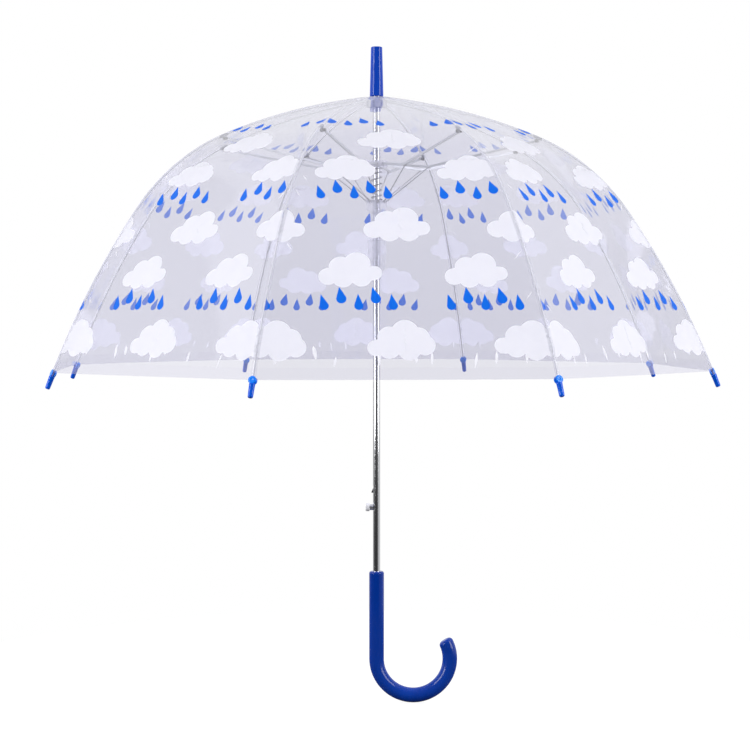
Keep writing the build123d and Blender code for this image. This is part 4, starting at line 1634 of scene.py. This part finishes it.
    def spring(self) -> None:
        """Opening spring between the upper hub and the runner, with closed end turns.

        With t the share of its turns, the wire rises as t - c * sin(2 * pi * t).
        """
        share = np.linspace(0.0, 1.0, int(self.spring_turns * self.spring_rows) + 1)
        low, high = self.spring_bottom + self.spring_wire, self.spring_top - self.spring_wire
        rise = share - self.spring_closed * np.sin(2 * math.pi * share)
        angle = 2 * math.pi * self.spring_turns * share
        line = np.stack([self.spring_radius * np.cos(angle), self.spring_radius * np.sin(angle),
                         low + (high - low) * rise], axis=-1)
        piece = Surface("opening_spring")
        piece.add_grid(tube(line, self.spring_wire, UP), wrap=True)
        made = piece.build([self.finishes.get(Finish.COIL)])
        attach(made, "hub")
        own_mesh(made)
        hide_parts("main_spring")

    def build(self) -> None:
        """Build the parts of every rib and the spring."""
        for number in range(self.shape.count):
            rod = self.rod(number)
            self.bracket(number)
            self.rivet(number)
            self.tip(number)
            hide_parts(f"rib_{number + 1}_inner", f"rib_{number + 1}_outer")
        self.spring()
        LOG.info("rib parts: %d ribs", self.shape.count)


# ---------------------------------------------------------------- studio

@dataclass(frozen=True)
class Softbox:
    """Rectangular soft light.

    Its azimuth counts from +Y towards -X, and its tilt downwards, in degrees; its power is in
    watts. Shiny surfaces show it where mirrored is true.
    """

    name: str
    place: tuple[float, float, float]
    azimuth: float
    size: tuple[float, float]
    power: float
    tilt: float = 0.0
    mirrored: bool = True

    def hang(self) -> None:
        """Make the light."""
        data = bpy.data.lights.new(self.name, "AREA")
        data.shape = "RECTANGLE"
        data.size, data.size_y = self.size
        data.energy = self.power
        light = bpy.data.objects.new(self.name, data)
        light.location = self.place
        light.rotation_euler = (math.radians(90 - self.tilt), 0.0, math.radians(self.azimuth))
        light.visible_camera = False
        light.visible_glossy = self.mirrored
        bpy.context.scene.collection.objects.link(light)


@dataclass
class Studio:
    """Pale floor, soft light and the camera.

    An edge is the pair of parts of a direction, along one axis, between which one level of the
    room's light passes into the next.
    """

    eye: tuple[float, float, float] = (-0.002, -2.273, 0.5004)
    view_angle: float = 23.66
    tilt: float = -2.06
    floor_size: float = 0.7
    floor_glow: float = 1.06
    floor_glow_share: float = 0.86
    floor_rings: int = 12
    floor_spokes: int = 96
    floor_dark: tuple = (0.12, 0.12, 0.13, 1.0)
    floor_pale: tuple = (0.95, 0.95, 0.96, 1.0)
    back: float = 2.45
    side: float = 0.95
    front: float = 0.22
    low_front: float = 0.04
    mirrored_back: float = 0.86
    mirrored_low: float = 0.36
    mirrored_right: float = 0.45
    mirrored_deep: float = 0.9
    behind_edge: tuple[float, float] = (0.1, 0.75)
    ahead_edge: tuple[float, float] = (0.1, 0.8)
    low_behind_edge: tuple[float, float] = (-0.2, 0.4)
    right_edge: tuple[float, float] = (0.45, 0.95)
    deep_edge: tuple[float, float] = (-0.42, -0.24)
    horizon_edge: tuple[float, float] = (-0.12, 0.02)
    softboxes: tuple[Softbox, ...] = (
        Softbox("left_softbox", (-2.4, -1.5, 1.25), -58.0, (1.1, 2.2), 56.0),
        Softbox("right_softbox", (2.4, -1.4, 1.25), 60.0, (1.1, 2.2), 50.0),
        Softbox("key_softbox", (0.0, -2.6, 2.2), 0.0, (2.2, 1.4), 9.0, tilt=32.0, mirrored=False))

    def camera(self) -> None:
        """Make the camera: it looks along +Y, slightly downwards."""
        data = bpy.data.cameras.new("camera")
        data.sensor_width = 36.0
        data.angle = math.radians(self.view_angle)
        camera = bpy.data.objects.new("camera", data)
        camera.location = self.eye
        camera.rotation_euler = (math.radians(90 + self.tilt), 0.0, 0.0)
        bpy.context.scene.collection.objects.link(camera)
        bpy.context.scene.camera = camera

    def floor(self) -> None:
        """Lay a pale round floor at the height of the handle's lowest point.

        Only the camera sees it pale: to other rays it is dark, so that it lights nothing.
        """
        reach = self.floor_size * np.linspace(0.0, 1.0, self.floor_rings)[:, None]
        angle = np.linspace(0.0, 2 * math.pi, self.floor_spokes, endpoint=False)[None, :]
        level = np.full((self.floor_rings, self.floor_spokes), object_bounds()[0][2])
        grid = np.stack([reach * np.cos(angle), reach * np.sin(angle), level], axis=-1)
        material, graph = new_material("floor_white")
        seen = self.ray(graph, "Is Camera Ray")
        paint = graph.blend(seen, self.floor_dark, self.floor_pale)
        matt = graph.principled({"Base Color": paint, "Roughness": 0.9, "Specular IOR Level": 0.1})
        glow = graph.node("ShaderNodeEmission", None, {
            "Color": (1.0, 1.0, 1.0, 1.0), "Strength": self.floor_glow}).outputs[0]
        graph.finish(graph.mix_shaders(seen * self.floor_glow_share, matt, glow))
        piece = Surface("floor")
        piece.add_grid(grid, wrap=True)
        piece.build([material])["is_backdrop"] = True

    def ray(self, graph: Graph, kind: str) -> Signal:
        """1 for a ray of a kind, 0 otherwise."""
        return Signal(graph, graph.node("ShaderNodeLightPath").outputs[kind])

    def world(self) -> None:
        """White backdrop; for the light, a room with a bright wall behind and a dim one in front.

        The room's level runs from the back wall's over the sides' to the front wall's. Under the
        horizon it is the same behind and nearly dark at the sides and in front. Shiny surfaces
        see a dimmer back wall, dimmest just under the horizon, and there a glow to the right.
        """
        world = bpy.data.worlds.new("studio")
        bpy.context.scene.world = world
        world.use_nodes = True
        graph = Graph(world.node_tree)
        east, north, up = graph.axes(graph.node("ShaderNodeTexCoord").outputs["Generated"])
        mirrored = self.ray(graph, "Is Glossy Ray")
        back = self.back + mirrored * (self.mirrored_back - self.back)
        deep = self.mirrored_low - self.mirrored_deep
        shown = self.mirrored_deep + up.eased(*self.deep_edge) * deep
        low_back = self.back + mirrored * (shown - self.back)
        behind = north.eased(*self.behind_edge)
        ahead = (north * -1.0).eased(*self.ahead_edge)
        upper = self.side + behind * (back - self.side) + ahead * (self.front - self.side)
        low_behind = north.eased(*self.low_behind_edge)
        lower = self.low_front + low_behind * (low_back - self.low_front)
        lower = lower + mirrored * east.eased(*self.right_edge) * self.mirrored_right
        high = up.eased(*self.horizon_edge)
        level = high * upper + (1.0 - high) * lower
        seen = self.ray(graph, "Is Camera Ray")
        shade = graph.node("ShaderNodeBackground", None, {
            "Color": (1.0, 1.0, 1.0, 1.0), "Strength": seen + level * (1.0 - seen)})
        graph.node("ShaderNodeOutputWorld", None, {"Surface": shade.outputs[0]})

    def build(self) -> None:
        """Build the camera, the floor, the room and the lights."""
        self.camera()
        self.floor()
        self.world()
        for softbox in self.softboxes:
            softbox.hang()
        bpy.context.scene.view_settings.view_transform = "Standard"


def main() -> None:
    """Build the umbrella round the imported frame."""
    logging.basicConfig(level=logging.INFO, format="%(name)s: %(message)s")
    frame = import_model()
    Studio().build()
    finishes = Finishes()
    Hardware(finishes, frame["nodes"]).dress()
    shape = FilmShape(RibLine())
    RibParts(finishes, shape.rib, shape).build()
    Canopy(finishes, shape).build()


if __name__ == "__main__":
    main()
